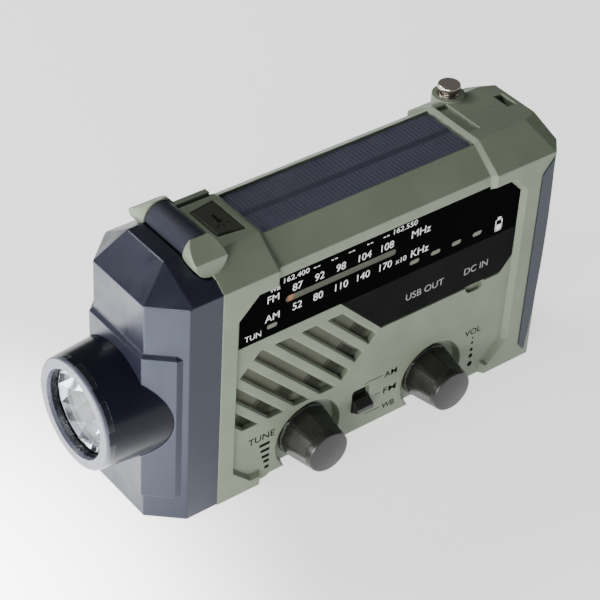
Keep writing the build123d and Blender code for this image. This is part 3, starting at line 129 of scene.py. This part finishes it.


class Recipe:
    """A new material with short ways to add and join nodes."""

    def __init__(self, name):
        self.material = bpy.data.materials.new(name)
        self.material.use_nodes = True
        self.nodes = self.material.node_tree.nodes
        self.links = self.material.node_tree.links
        self.shader = self.nodes["Principled BSDF"]
        self.place = self.nodes.new("ShaderNodeTexCoord").outputs["Object"]

    def set(self, **values):
        for key, value in values.items():
            self.shader.inputs[key.replace("_", " ")].default_value = value

    def join(self, output, socket):
        self.links.new(output, self.shader.inputs[socket])

    def noise(self, scale, detail, rough=0.5, place=None):
        node = self.nodes.new("ShaderNodeTexNoise")
        node.inputs["Scale"].default_value = scale
        node.inputs["Detail"].default_value = detail
        node.inputs["Roughness"].default_value = rough
        self.links.new(place or self.place, node.inputs["Vector"])
        return node.outputs["Fac"]

    def stretched(self, x, y, z):
        node = self.nodes.new("ShaderNodeMapping")
        node.inputs["Scale"].default_value = (x, y, z)
        self.links.new(self.place, node.inputs["Vector"])
        return node.outputs["Vector"]

    def distance(self, x, y, z):
        node = self.nodes.new("ShaderNodeVectorMath")
        node.operation = "DISTANCE"
        node.inputs[1].default_value = (x, y, z)
        self.links.new(self.place, node.inputs[0])
        return node.outputs["Value"]

    def span(self, value, low, high, new_low=0.0, new_high=1.0):
        """Maps low..high smoothly onto new_low..new_high."""
        node = self.nodes.new("ShaderNodeMapRange")
        node.interpolation_type = "SMOOTHSTEP"
        node.inputs["From Min"].default_value = low
        node.inputs["From Max"].default_value = high
        node.inputs["To Min"].default_value = new_low
        node.inputs["To Max"].default_value = new_high
        self.links.new(value, node.inputs["Value"])
        return node.outputs["Result"]

    def math(self, operation, a, b):
        node = self.nodes.new("ShaderNodeMath")
        node.operation = operation
        for index, item in enumerate((a, b)):
            if isinstance(item, (int, float)):
                node.inputs[index].default_value = item
            else:
                self.links.new(item, node.inputs[index])
        return node.outputs["Value"]

    def blend(self, factor, a, b):
        node = self.nodes.new("ShaderNodeMix")
        node.data_type = "RGBA"
        for index, item in ((0, factor), (6, a), (7, b)):
            if isinstance(item, tuple):
                node.inputs[index].default_value = (*item, 1.0)
            elif isinstance(item, (int, float)):
                node.inputs[index].default_value = item
            else:
                self.links.new(item, node.inputs[index])
        return node.outputs[2]

    def rounded(self, radius):
        node = self.nodes.new("ShaderNodeBevel")
        node.samples = 6
        node.inputs["Radius"].default_value = radius
        return node.outputs["Normal"]

    def edges(self, radius):
        """Near 0 on open faces, rising to 1 on sharp edges."""
        soft = self.rounded(radius)
        sharp = self.nodes.new("ShaderNodeNewGeometry").outputs["Normal"]
        node = self.nodes.new("ShaderNodeVectorMath")
        node.operation = "DOT_PRODUCT"
        self.links.new(soft, node.inputs[0])
        self.links.new(sharp, node.inputs[1])
        return self.span(node.outputs["Value"], OPEN_FACE, SHARP_EDGE)

    def bump(self, height, strength, distance, radius=0.0):
        node = self.nodes.new("ShaderNodeBump")
        node.inputs["Strength"].default_value = strength
        node.inputs["Distance"].default_value = distance
        self.links.new(height, node.inputs["Height"])
        if radius:
            self.links.new(self.rounded(radius), node.inputs["Normal"])
        self.join(node.outputs["Normal"], "Normal")


def shade(colour, factor):
    return tuple(min(1.0, channel * factor) for channel in colour)


def moulded(name, colour, rough, grain=2600, radius=0.0004, edge=1.5, strength=0.35, ior=1.48,
            sheen=(1.0, 1.0, 1.0)):
    """Moulded plastic: fine spark-eroded grain, faint mottling, and paler edges, partly worn and partly a
    painted highlight.
    """
    r = Recipe(name)
    mottle = r.span(r.noise(MOTTLE_SCALE, 4), 0.35, 0.65)
    speck = r.span(r.noise(SPECK_SCALE, 2), 0.3, 0.7)
    tone = r.blend(mottle, shade(colour, 0.93), shade(colour, 1.06))
    tone = r.blend(r.math("MULTIPLY", speck, 0.25), tone, shade(colour, 1.2))
    scuffs = r.span(r.noise(SCUFF_SCALE, 6, 0.7), 0.45, 0.75)
    # paler edges: wear picked out by the scuffs, and a painted highlight
    edges = r.edges(radius * EDGE_REACH)
    sheen_and_wear = r.math("MULTIPLY", edges, r.math("ADD", r.math("MULTIPLY", scuffs, 0.6), 0.35))
    tone = r.blend(sheen_and_wear, tone, shade(colour, edge))
    r.join(tone, "Base Color")
    r.join(r.span(r.noise(POLISH_SCALE, 5), 0.3, 0.7, rough - 0.06, rough + 0.07), "Roughness")
    r.bump(r.noise(grain, 3, 0.6), strength, GRAIN_DEPTH, radius)
    r.set(IOR=ior, Specular_Tint=(*sheen, 1.0))
    return r.material


def glossy(name, colour, rough, radius=0.0002, edge=1.6, ior=1.5):
    """Polished plastic: a light orange peel, faint smears and hairline scratches."""
    r = Recipe(name)
    smear = r.span(r.noise(SMEAR_SCALE, 5, 0.6), 0.35, 0.7)
    # paler edges: wear and a painted highlight
    sheen_and_wear = r.edges(radius * EDGE_REACH)
    r.join(r.blend(sheen_and_wear, r.blend(smear, colour, shade(colour, 1.15)), shade(colour, edge)), "Base Color")
    lines = r.span(r.noise(1, 3, 0.6, r.stretched(90, 90, 2400)), 0.55, 0.75)
    dulled = r.math("MULTIPLY", smear, 0.06)
    r.join(r.math("ADD", dulled, r.math("ADD", r.math("MULTIPLY", lines, 0.05), rough)), "Roughness")
    r.bump(r.noise(PEEL_SCALE, 2), 0.12, 0.00002, radius)
    r.set(IOR=ior)
    return r.material


def metal(name, colour, rough, brushed=(1, 1, 1), depth=0.00001, amount=0.08):
    """Plated or brushed metal: fine lines along one direction and a little tarnish."""
    r = Recipe(name)
    lines = r.noise(BRUSH_SCALE, 3, 0.6, r.stretched(*brushed))
    cloud = r.span(r.noise(TARNISH_SCALE, 4), 0.35, 0.7)
    r.join(r.blend(cloud, colour, shade(colour, 0.86)), "Base Color")
    r.join(r.math("ADD", r.span(lines, 0.3, 0.7, rough - amount / 2, rough + amount),
                  r.math("MULTIPLY", cloud, 0.05)), "Roughness")
    r.bump(lines, 0.25, depth, METAL_EDGE)
    r.set(Metallic=1.0)
    return r.material


def clear(name, rough, ior):
    """Clear moulded plastic with faint dust."""
    r = Recipe(name)
    tint = (0.98, 0.99, 1.0)
    dust = r.span(r.noise(DUST_SCALE, 3), 0.7, 0.8)
    r.join(r.math("ADD", r.math("MULTIPLY", dust, 0.05), rough), "Roughness")
    r.join(r.blend(dust, tint, shade(tint, 0.9)), "Base Color")
    r.set(IOR=ior, Transmission_Weight=1.0)
    return r.material


def ring_with_painted_reflection(name, colour, front_colour, split):
    """Black turned ring whose front, up to x = split, is painted grey as a reflection, with paler edges."""
    r = Recipe(name)
    axes = r.nodes.new("ShaderNodeSeparateXYZ")
    r.links.new(r.place, axes.inputs["Vector"])
    # painted reflection: the ring's front is grey
    sheen_and_wear = r.span(axes.outputs["X"], split, split + PAINTED_REFLECTION_FADE, 1.0, 0.0)
    grain = r.span(r.noise(300, 4), 0.3, 0.7)
    front = r.blend(grain, front_colour, shade(front_colour, 1.25))
    tone = r.blend(sheen_and_wear, r.blend(grain, colour, shade(colour, 1.3)), front)
    r.join(r.blend(r.math("MULTIPLY", r.edges(0.0004), sheen_and_wear), tone, shade(front_colour, 2.4)), "Base Color")
    r.join(r.span(r.noise(500, 3), 0.3, 0.7, 0.22, 0.3), "Roughness")
    r.bump(r.noise(1400, 2), 0.1, 0.00001, 0.0003)
    r.set(IOR=1.4)
    return r.material


def frosted(name, colour):
    """Tinted plastic that lets blurred light through."""
    r = Recipe(name)
    cloud = r.span(r.noise(160, 3), 0.3, 0.7)
    r.join(r.blend(cloud, colour, shade(colour, 1.12)), "Base Color")
    r.join(r.span(r.noise(900, 2), 0.3, 0.7, 0.35, 0.45), "Roughness")
    r.bump(r.noise(1600, 2), 0.15, 0.00001)
    r.set(IOR=1.3, Transmission_Weight=0.7)
    return r.material


def glowing(name, colour, light, strength, rough=0.5):
    """Moulded plastic that gives off light of its own."""
    material = moulded(name, colour, rough=rough, edge=1.0)
    shader = material.node_tree.nodes["Principled BSDF"]
    shader.inputs["Emission Color"].default_value = (*light, 1)
    shader.inputs["Emission Strength"].default_value = strength
    return material


GREEN = (0.147, 0.175, 0.124)
SLATE = (0.0115, 0.0120, 0.0200)
materials = {
    "case_green": moulded("case_green", GREEN, rough=0.48, radius=0.0006),
    "trim_grey": moulded("trim_grey", SLATE, rough=0.32, edge=2.4, grain=2200, strength=0.2, ior=1.45,
                         sheen=(0.72, 0.84, 1.0)),
    "black_gloss": glossy("black_gloss", (0.0008, 0.0008, 0.0008), rough=0.2, ior=1.04),
    "torch_black": glossy("torch_black", (0.005, 0.0058, 0.0105), rough=0.2, radius=0.0003, edge=4.0,
                          ior=1.27),
    "knob_black": moulded("knob_black", (0.0135, 0.0140, 0.0128), rough=0.27, radius=0.0005, edge=5.0,
                          strength=0.06),
    "flap_rubber": moulded("flap_rubber", (0.0065, 0.0065, 0.007), rough=0.6, grain=1900, ior=1.09),
    "clear": frosted("clear", (0.16, 0.165, 0.115)),
    "bright_metal": metal("bright_metal", (0.84, 0.87, 0.92), rough=0.05, amount=0.03),
    "steel": metal("steel", (0.5, 0.5, 0.52), rough=0.3),
    "aerial_steel": metal("aerial_steel", (0.62, 0.56, 0.5), rough=0.2, brushed=(0.2, 0.2, 0.02),
                          depth=0.000002),
    "gear_nylon": moulded("gear_nylon", (0.68, 0.66, 0.6), rough=0.45, edge=1.1),
    "inner_plastic": moulded("inner_plastic", (0.03, 0.03, 0.034), rough=0.5),
    "pointer_orange": moulded("pointer_orange", (0.85, 0.30, 0.12), rough=0.4, edge=1.1),
    "board_green": glossy("board_green", (0.02, 0.13, 0.06), rough=0.3),
    "led_board": glossy("led_board", (0.7, 0.7, 0.68), rough=0.35, edge=1.0),
    "pipe_clear": moulded("pipe_clear", (0.10, 0.105, 0.075), rough=0.3, edge=1.1),
    "cloth": moulded("cloth", (0.075, 0.08, 0.055), rough=0.75, grain=1500, strength=0.8),
    "speaker_steel": metal("speaker_steel", (0.12, 0.12, 0.13), rough=0.4),
    "cone_paper": moulded("cone_paper", (0.03, 0.03, 0.033), rough=0.85, grain=900),
    "cell_wrap": glossy("cell_wrap", (0.02, 0.10, 0.26), rough=0.3),
    "ferrite": moulded("ferrite", (0.03, 0.03, 0.032), rough=0.6),
    "brass_bush": metal("brass_bush", (0.66, 0.44, 0.2), rough=0.3),
    "solar_blue": glossy("solar_blue", (0.052, 0.055, 0.085), rough=0.3),
}
# the ring's front, painted grey as a reflection, ends here
ring_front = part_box("torch_bezel")[0].x + PAINTED_REFLECTION_DEPTH
RING = ring_with_painted_reflection("bezel_ring", (0.006, 0.0066, 0.010), (0.062, 0.065, 0.088), ring_front)
BAR_SATIN = moulded("bar_satin", (0.021, 0.023, 0.033), rough=0.6, edge=1.2, radius=0.0003, ior=1.25)
BUTTON = moulded("button_rubber", (0.040, 0.043, 0.032), rough=0.55, edge=1.8, grain=2000, ior=1.25)
COVER = clear("cover_clear", rough=0.03, ior=1.08)
LENS = clear("lens_clear", rough=0.0, ior=1.15)
SOLAR_SHEET = glossy("solar_sheet", (0.066, 0.068, 0.098), rough=0.35, ior=1.35)
SOLAR_LINE = glossy("solar_line", (0.095, 0.100, 0.135), rough=0.4, ior=1.4)
SOLAR_GAP = glossy("solar_gap", (0.045, 0.047, 0.066), rough=0.4, ior=1.3)
WHITE_PRINT = moulded("white_print", (0.82, 0.83, 0.82), rough=0.5, grain=3000, strength=0.1, edge=1.0)
BLACK_PRINT = moulded("black_print", (0.004, 0.004, 0.004), rough=0.5, grain=3000, strength=0.1, edge=1.0,
                      ior=1.1)
# painted shade in the sound slots
SLOT_SHADE = moulded("slot_shade", (0.026, 0.029, 0.020), rough=0.7, grain=1800, ior=1.2)
SYMBOL = moulded("symbol_dark", (0.012, 0.013, 0.010), rough=0.5, grain=2500, edge=1.0, ior=1.1)
# paler painted shade for the rims in the sound slots
SLOT_SHADE_RIM = moulded("slot_shade_rim", (0.050, 0.055, 0.038), rough=0.7, grain=1800, ior=1.2)
GREY_PRINT = moulded("grey_print", (0.30, 0.30, 0.30), rough=0.5, grain=3000, strength=0.1, edge=1.0)
# the pointer flag's glow is painted light, the flag being no lamp
PAINTED_GLOW = glowing("pointer_glow", (0.9, 0.34, 0.13), (0.95, 0.26, 0.09), 5.0)
PHOSPHOR = glowing("phosphor", (0.95, 0.62, 0.22), (1.0, 0.55, 0.22), 0.8, rough=0.45)

for entry in frame["record"]["subparts"]:
    obj = frame["nodes"][entry["node"]]
    obj.data.materials.clear()
    obj.data.materials.append(materials[entry["material_slot"]])


def paint(node, material):
    """Gives one CAD node its own finish."""
    slots = frame["nodes"][node].data.materials
    slots.clear()
    slots.append(material)


paint("torch_bezel", RING)
paint("solar_cover", COVER)
paint("torch_lens", LENS)
paint("strap_bar", BAR_SATIN)
paint("torch_button", BUTTON)

# ---------------------------------------------------------------------------
# Pieces added to the CAD model, in millimetres from here on
# ---------------------------------------------------------------------------
PANEL_Y = -20.2              # face of the waist, the dial panel and the port flap
PRINT_T = 0.04               # how far prints stand out, and how far they reach in
LETTER_WEIGHT = 0.012        # outlines of letters are widened by this much
CAP_HEIGHT = 0.70            # height of a capital, against the font's size


def piece(name, mesh, material, body):
    """A finished object from a bmesh in millimetres, riding on a body."""
    data = bpy.data.meshes.new(name)
    bmesh.ops.recalc_face_normals(mesh, faces=mesh.faces)
    mesh.to_mesh(data)
    mesh.free()
    data.transform(Matrix.Scale(MM, 4))
    data.materials.append(material)
    obj = bpy.data.objects.new(name, data)
    scene.collection.objects.link(obj)
    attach(obj, body)
    return obj


def prism(mesh, outline, low, high, axis="y"):
    """Adds a prism to the mesh: the outline is (x, z) points along y, or (x, y) points along z."""
    rings = []
    for level in (low, high):
        if axis == "y":
            rings.append([mesh.verts.new((x, level, z)) for x, z in outline])
        else:
            rings.append([mesh.verts.new((x, y, level)) for x, y in outline])
    mesh.faces.new(rings[0])
    mesh.faces.new(rings[1])
    for index in range(len(outline)):
        after = (index + 1) % len(outline)
        mesh.faces.new((rings[0][index], rings[0][after], rings[1][after], rings[1][index]))


def bar(x, z, width, height):
    """Four corners of an upright rectangle centred at x, z."""
    return [(x - width / 2, z - height / 2), (x + width / 2, z - height / 2),
            (x + width / 2, z + height / 2), (x - width / 2, z + height / 2)]


def stroke(a, b, width):
    """Four corners of a straight line from a to b."""
    along = (Vector(b) - Vector(a)).normalized()
    side = Vector((-along.y, along.x)) * width / 2
    a, b = Vector(a), Vector(b)
    return [tuple(a - side), tuple(b - side), tuple(b + side), tuple(a + side)]


def circle(a, b, radius, count, turn=0.0):
    """Points of a circle about a, b; turn is a share of one step."""
    angles = [2 * math.pi * (i + turn) / count for i in range(count)]
    return [(a + radius * math.cos(angle), b + radius * math.sin(angle)) for angle in angles]


def printed(name, outlines, material):
    """Flat printed marks on the front."""
    mesh = bmesh.new()
    for outline in outlines:
        prism(mesh, outline, PANEL_Y - PRINT_T, PANEL_Y + PRINT_T)
    piece(name, mesh, material, "root")


def label(text, x, z, height, material=WHITE_PRINT, body="root", width=None):
    """Printed lettering on the front, centred at x, z, and stretched to a width if one is given."""
    data = bpy.data.curves.new("label_" + text.replace(" ", "_").replace(".", "_"), "FONT")
    data.body = text
    data.extrude = PRINT_T * MM
    data.align_x = "CENTER"
    data.align_y = "CENTER"
    data.offset = LETTER_WEIGHT * MM
    data.size = height * MM / CAP_HEIGHT
    data.materials.append(material)
    obj = bpy.data.objects.new(data.name, data)
    obj.rotation_euler = (math.radians(90), 0, 0)
    obj.location = (x * MM, PANEL_Y * MM, z * MM)
    scene.collection.objects.link(obj)
    bpy.context.view_layer.update()
    if width:
        obj.scale.x = width * MM / obj.dimensions.x
    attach(obj, body)


# dial scale
SCALE_LETTER = 2.7
FM_ROW_Z = 72.4
AM_ROW_Z = 65.0
for text, x in (("87", -18.6), ("92", -10.3), ("98", -2.2), ("104", 6.7), ("108", 15.5)):
    label(text, x, FM_ROW_Z, SCALE_LETTER)
for text, x in (("52", -18.3), ("80", -10.4), ("110", -1.8), ("140", 6.7), ("170", 15.4)):
    label(text, x, AM_ROW_Z, SCALE_LETTER)
label("FM", -27.5, 71.7, SCALE_LETTER)
label("AM", -27.4, 64.7, SCALE_LETTER)
label("WB", -27.0, 74.9, 1.5, width=3.7)
label("162.400", -19.4, 76.6, 1.9, width=9.4)
label("162.550", 22.3, 76.9, 1.9, width=9.4)
label("MHz", 29.1, 72.5, 2.9)
label("KHz", 29.3, 65.0, 2.9)
label("x10", 21.9, 64.7, 2.0)
label("TUN", -34.4, 60.3, 2.1)
dashes = []
for x in (-11.6, -5.0, 1.6, 8.6, 15.0):
    dashes += [bar(x - 0.7, 76.6, 0.9, 0.4), bar(x + 0.7, 76.6, 0.9, 0.4)]
printed("scale_dashes", dashes, WHITE_PRINT)
cell_mark = [bar(61.3, 61.2, 0.4, 4.4), bar(63.9, 61.2, 0.4, 4.4), bar(62.6, 59.1, 3.0, 0.4),
             bar(62.6, 63.3, 3.0, 0.4), bar(62.6, 60.3, 2.6, 2.2), bar(62.6, 63.9, 1.5, 0.9)]
printed("cell_mark", cell_mark, WHITE_PRINT)

# port flap
label("USB OUT", 33.3, 47.9, 2.6, GREY_PRINT, body="flap", width=15.6)
label("DC IN", 54.9, 47.4, 2.6, GREY_PRINT, body="flap", width=10.0)

# knobs and band switch
label("TUNE", -29.3, 17.5, 2.5, BLACK_PRINT, width=10.2)
label("VOL", 57.3, 19.7, 2.3, BLACK_PRINT, width=6.9)
for text, z in (("AM", 19.0), ("FM", 12.2), ("WB", 5.6)):
    label(text, 22.4, z, 2.3, BLACK_PRINT, width=5.2)
tune_marks = []
for z, width in ((14.1, 4.0), (11.6, 3.4), (9.0, 2.9), (6.8, 2.1), (4.2, 1.6)):
    tune_marks.append(bar(-26.0 - width / 2, z, width, 1.15))
printed("tune_marks", tune_marks, BLACK_PRINT)
volume_marks = []
for z, radius in ((5.7, 1.05), (9.2, 0.85), (11.9, 0.65), (14.8, 0.5), (16.9, 0.35)):
    volume_marks.append(circle(57.6, z, radius, 20))
printed("volume_marks", volume_marks, BLACK_PRINT)
switch_lines = [stroke((11.5, 18.9), (13.3, 19.6), 0.2), stroke((13.3, 19.6), (19.0, 19.4), 0.2),
                stroke((16.2, 12.6), (18.4, 12.5), 0.2), stroke((12.0, 6.9), (13.2, 6.2), 0.2),
                stroke((13.2, 6.2), (18.8, 6.1), 0.2)]
printed("switch_lines", switch_lines, BLACK_PRINT)

# painted shade at the bottom of the sound slots, which run at 45 degrees: dark patches with wider, paler
# rims
SLOT_HALF = 1.6
SHADE_REACH = 2.9
SHADE_FACE_Y = -18.15
SHADE_RIM_REACH = 4.3
SHADE_RIM_FACE_Y = -18.11          # just behind the face of the painted shade
SHADE_BACK_Y = -17.95
HALF_ROOT = 0.7071           # sine and cosine of 45 degrees
slot_shades = bmesh.new()
slot_shade_rims = bmesh.new()
for x, z in ((8.6, 41.2), (4.0, 35.4), (-0.7, 31.0), (-8.5, 28.4), (-19.2, 30.4), (-27.5, 28.6),
             (-34.3, 25.3)):
    for mesh, reach, face_y in ((slot_shades, SHADE_REACH, SHADE_FACE_Y), (slot_shade_rims, SHADE_RIM_REACH, SHADE_RIM_FACE_Y)):
        corners = [(reach, SLOT_HALF), (reach, -SLOT_HALF), (-reach, -SLOT_HALF), (-reach, SLOT_HALF)]
        outline = [(x + (a + b) * HALF_ROOT, z + (b - a) * HALF_ROOT) for a, b in corners]
        prism(mesh, outline, face_y, SHADE_BACK_Y)
piece("grille_painted_shade", slot_shades, SLOT_SHADE, "root")
piece("grille_painted_shade_rims", slot_shade_rims, SLOT_SHADE_RIM, "root")

# orange flag on the tuning pointer, close behind the window, with a painted glow: the flag is no lamp
FLAG_GAP = 0.05
FLAG_T = 0.2
flag = bmesh.new()
flag_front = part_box("dial_window")[1].y / MM + FLAG_GAP
prism(flag, bar(-20.3, 68.9, 1.8, 2.0), flag_front, flag_front + FLAG_T)
piece("pointer_flag", flag, PAINTED_GLOW, "pointer")

# torch symbol on the button: its head, its handle and three rays
ICON_Z = 90.7
icon = bmesh.new()
for outline in ([(-34.6, -1.6), (-32.8, -1.6), (-33.2, 0.0), (-34.2, 0.0)],
                [(-34.2, 0.2), (-33.2, 0.2), (-33.2, 2.6), (-34.2, 2.6)],
                stroke((-35.1, -2.3), (-35.9, -3.5), 0.35), stroke((-33.7, -2.5), (-33.7, -3.9), 0.35),
                stroke((-32.3, -2.3), (-31.5, -3.5), 0.35)):
    prism(icon, outline, ICON_Z - PRINT_T, ICON_Z + PRINT_T, "z")
piece("button_symbol", icon, SYMBOL, "torch_switch")

# solar strip, torch bowl, aerial button and lamp chip
SHEET_DROP = 0.08            # from the top of the CAD cells to the top of the sheet
ROW_GAP_HALF = 0.15
FINGER_PITCH = 1.5
FINGER_HALF = 0.12
FINGER_T = 0.04
FINGER_MARGIN = 0.6          # from the outer edge of a row
FINGER_INNER = 1.6           # from the middle of the strip
MIDDLE_HALF = 1.1
MIDDLE_T = 0.03              # lower than the collecting lines
MIDDLE_SINK = 0.02
BOWL_SHARES = (0.0, 0.16, 0.42, 0.74, 1.0)    # of the way from throat to mouth
THROAT_R = 3.5
MOUTH_R = 14.1
FACETS = 14
BOWL_WALL = 0.6
BUTTON_SIDES = 48
NECK_TOP = 92.7
BUTTON_UNDER = 92.8
BUTTON_RIM = 93.2
CHIP_X = -64.6
CHIP_R = 1.9
CHIP_FLATNESS = 0.55


def block(mesh, x_low, x_high, y_low, y_high, low, high):
    """Adds an upright block to the mesh, given by its limits."""
    prism(mesh, [(x_low, y_low), (x_high, y_low), (x_high, y_high), (x_low, y_high)], low, high, "z")


def add_solar_strip():
    """One dark sheet in two rows, with fine current collecting lines and a darker band down the middle."""
    low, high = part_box("solar_cells")
    x0, x1 = low.x / MM, high.x / MM
    y0, y1 = low.y / MM, high.y / MM
    top = high.z / MM - SHEET_DROP
    sheet = bmesh.new()
    for near, far in ((y0, -ROW_GAP_HALF), (ROW_GAP_HALF, y1)):
        block(sheet, x0, x1, near, far, low.z / MM, top)
    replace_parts(piece("solar_sheet", sheet, SOLAR_SHEET, "root"), "solar_cells")
    fingers = bmesh.new()
    count = int((x1 - x0) / FINGER_PITCH)
    for index in range(count):
        x = x0 + (index + 0.5) * (x1 - x0) / count
        for near, far in ((y0 + FINGER_MARGIN, -FINGER_INNER), (FINGER_INNER, y1 - FINGER_MARGIN)):
            block(fingers, x - FINGER_HALF, x + FINGER_HALF, near, far, top, top + FINGER_T)
    piece("solar_fingers", fingers, SOLAR_LINE, "root")
    middle = bmesh.new()
    block(middle, x0, x1, -MIDDLE_HALF, MIDDLE_HALF, top - MIDDLE_SINK, top + MIDDLE_T)
    piece("solar_middle", middle, SOLAR_GAP, "root")


def add_torch_bowl():
    """A faceted bowl: rings of points from throat to mouth, every second one turned by half a facet."""
    low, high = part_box("torch_reflector")
    axis_z = (low.z + high.z) / 2 / MM
    mouth_x, throat_x = low.x / MM, high.x / MM
    rim_r = (high.z - low.z) / 2 / MM
    bowl = bmesh.new()
    rings = []
    for step, share in enumerate(BOWL_SHARES):
        radius = math.sqrt(THROAT_R ** 2 + (MOUTH_R ** 2 - THROAT_R ** 2) * share)
        x = throat_x + (mouth_x - throat_x) * share
        points = circle(0.0, axis_z, radius, FACETS, 0.5 * (step % 2))
        rings.append([bowl.verts.new((x, y, z)) for y, z in points])
    rings.append([bowl.verts.new((mouth_x, y, z)) for y, z in circle(0.0, axis_z, rim_r, FACETS)])
    rim_level = len(rings) - 2
    for level, (near, far) in enumerate(zip(rings, rings[1:])):
        for i in range(FACETS):
            j = (i + 1) % FACETS
            if level == rim_level:
                bowl.faces.new((near[i], near[j], far[j], far[i]))
            elif level % 2:
                bowl.faces.new((near[i], near[j], far[j]))
                bowl.faces.new((near[i], far[j], far[i]))
            else:
                bowl.faces.new((near[i], near[j], far[i]))
                bowl.faces.new((near[j], far[j], far[i]))
    bowl_piece = piece("torch_bowl", bowl, materials["bright_metal"], "root")
    wall = bowl_piece.modifiers.new("wall", "SOLIDIFY")
    wall.thickness = BOWL_WALL * MM
    wall.offset = 0
    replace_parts(bowl_piece, "torch_reflector")
    return axis_z


def add_aerial_button():
    """The rounded, smooth button on the end of the aerial."""
    low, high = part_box("aerial_tip")
    x, y = (low.x + high.x) / 2 / MM, (low.y + high.y) / 2 / MM
    bottom, top, radius = low.z / MM, high.z / MM, (high.x - low.x) / 2 / MM
    profile = [(0.9, bottom), (3.1, bottom), (3.2, NECK_TOP), (radius - 0.5, BUTTON_UNDER),
               (radius, BUTTON_RIM), (radius, top - 0.6), (radius - 0.15, top - 0.3),
               (radius - 0.5, top - 0.1), (radius - 1.2, top), (0.01, top)]
    button = bmesh.new()
    rings = [[button.verts.new((*point, z)) for point in circle(x, y, r, BUTTON_SIDES)] for r, z in profile]
    for near, far in zip(rings, rings[1:]):
        for i in range(BUTTON_SIDES):
            j = (i + 1) % BUTTON_SIDES
            button.faces.new((near[i], near[j], far[j], far[i]))
    button.faces.new(rings[0])
    button.faces.new(rings[-1])
    for face in button.faces:
        face.smooth = len(face.verts) == 4
    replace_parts(piece("aerial_button", button, materials["aerial_steel"], "aerial_3"), "aerial_tip")


def add_lamp_chip(axis_z):
    """The lit, flattened dome of the torch's lamp."""
    chip = bmesh.new()
    place = Matrix.Translation((CHIP_X, 0, axis_z)) @ Matrix.Scale(CHIP_FLATNESS, 4, (1, 0, 0))
    bmesh.ops.create_uvsphere(chip, u_segments=24, v_segments=12, radius=CHIP_R, matrix=place)
    piece("lamp_chip", chip, PHOSPHOR, "root")


add_solar_strip()
torch_axis_z = add_torch_bowl()
add_aerial_button()
add_lamp_chip(torch_axis_z)

# ---------------------------------------------------------------------------
# Stage, in metres again
# ---------------------------------------------------------------------------
FLOOR_HALF = 3
FLOOR_DROP = 0.0002          # keeps the paper clear of the flat base
POOL_MID = (-0.20, 0.0, 0)   # middle of a painted pool of light: the floor is brightest here, left of the torch
POOL_INNER = 0.05
POOL_OUTER = 0.18
POOL_STRENGTH = 8.0
FLOOR_STRENGTH = 1.2

add_camera()
corners = [(-FLOOR_HALF, -FLOOR_HALF, 0), (FLOOR_HALF, -FLOOR_HALF, 0),
           (FLOOR_HALF, FLOOR_HALF, 0), (-FLOOR_HALF, FLOOR_HALF, 0)]
floor_mesh = bpy.data.meshes.new("floor")
floor_mesh.from_pydata(corners, [], [(0, 1, 2, 3)])
floor = bpy.data.objects.new("floor", floor_mesh)
floor.location.z = -FLOOR_DROP
scene.collection.objects.link(floor)
paper = Recipe("floor_paper")
paper.join(paper.blend(paper.noise(6, 3), (0.86, 0.86, 0.86), (0.9, 0.9, 0.9)), "Base Color")
paper.set(Roughness=0.9, Emission_Color=(1, 1, 1, 1))
away = paper.distance(*POOL_MID)
# painted pool of light: the floor's glow rises from FLOOR_STRENGTH to POOL_STRENGTH near POOL_MID
paper.join(paper.span(away, POOL_INNER, POOL_OUTER, POOL_STRENGTH, FLOOR_STRENGTH), "Emission Strength")
floor_mesh.materials.append(paper.material)
add_world(WORLD_STRENGTH)
add_softbox("left", (-1.09, 0.0, 0.22), 13.6)
add_softbox("front_left", (-0.90, -0.62, 0.22), 11)
add_softbox("back_left", (-0.42, 0.73, 0.76), 7.0)
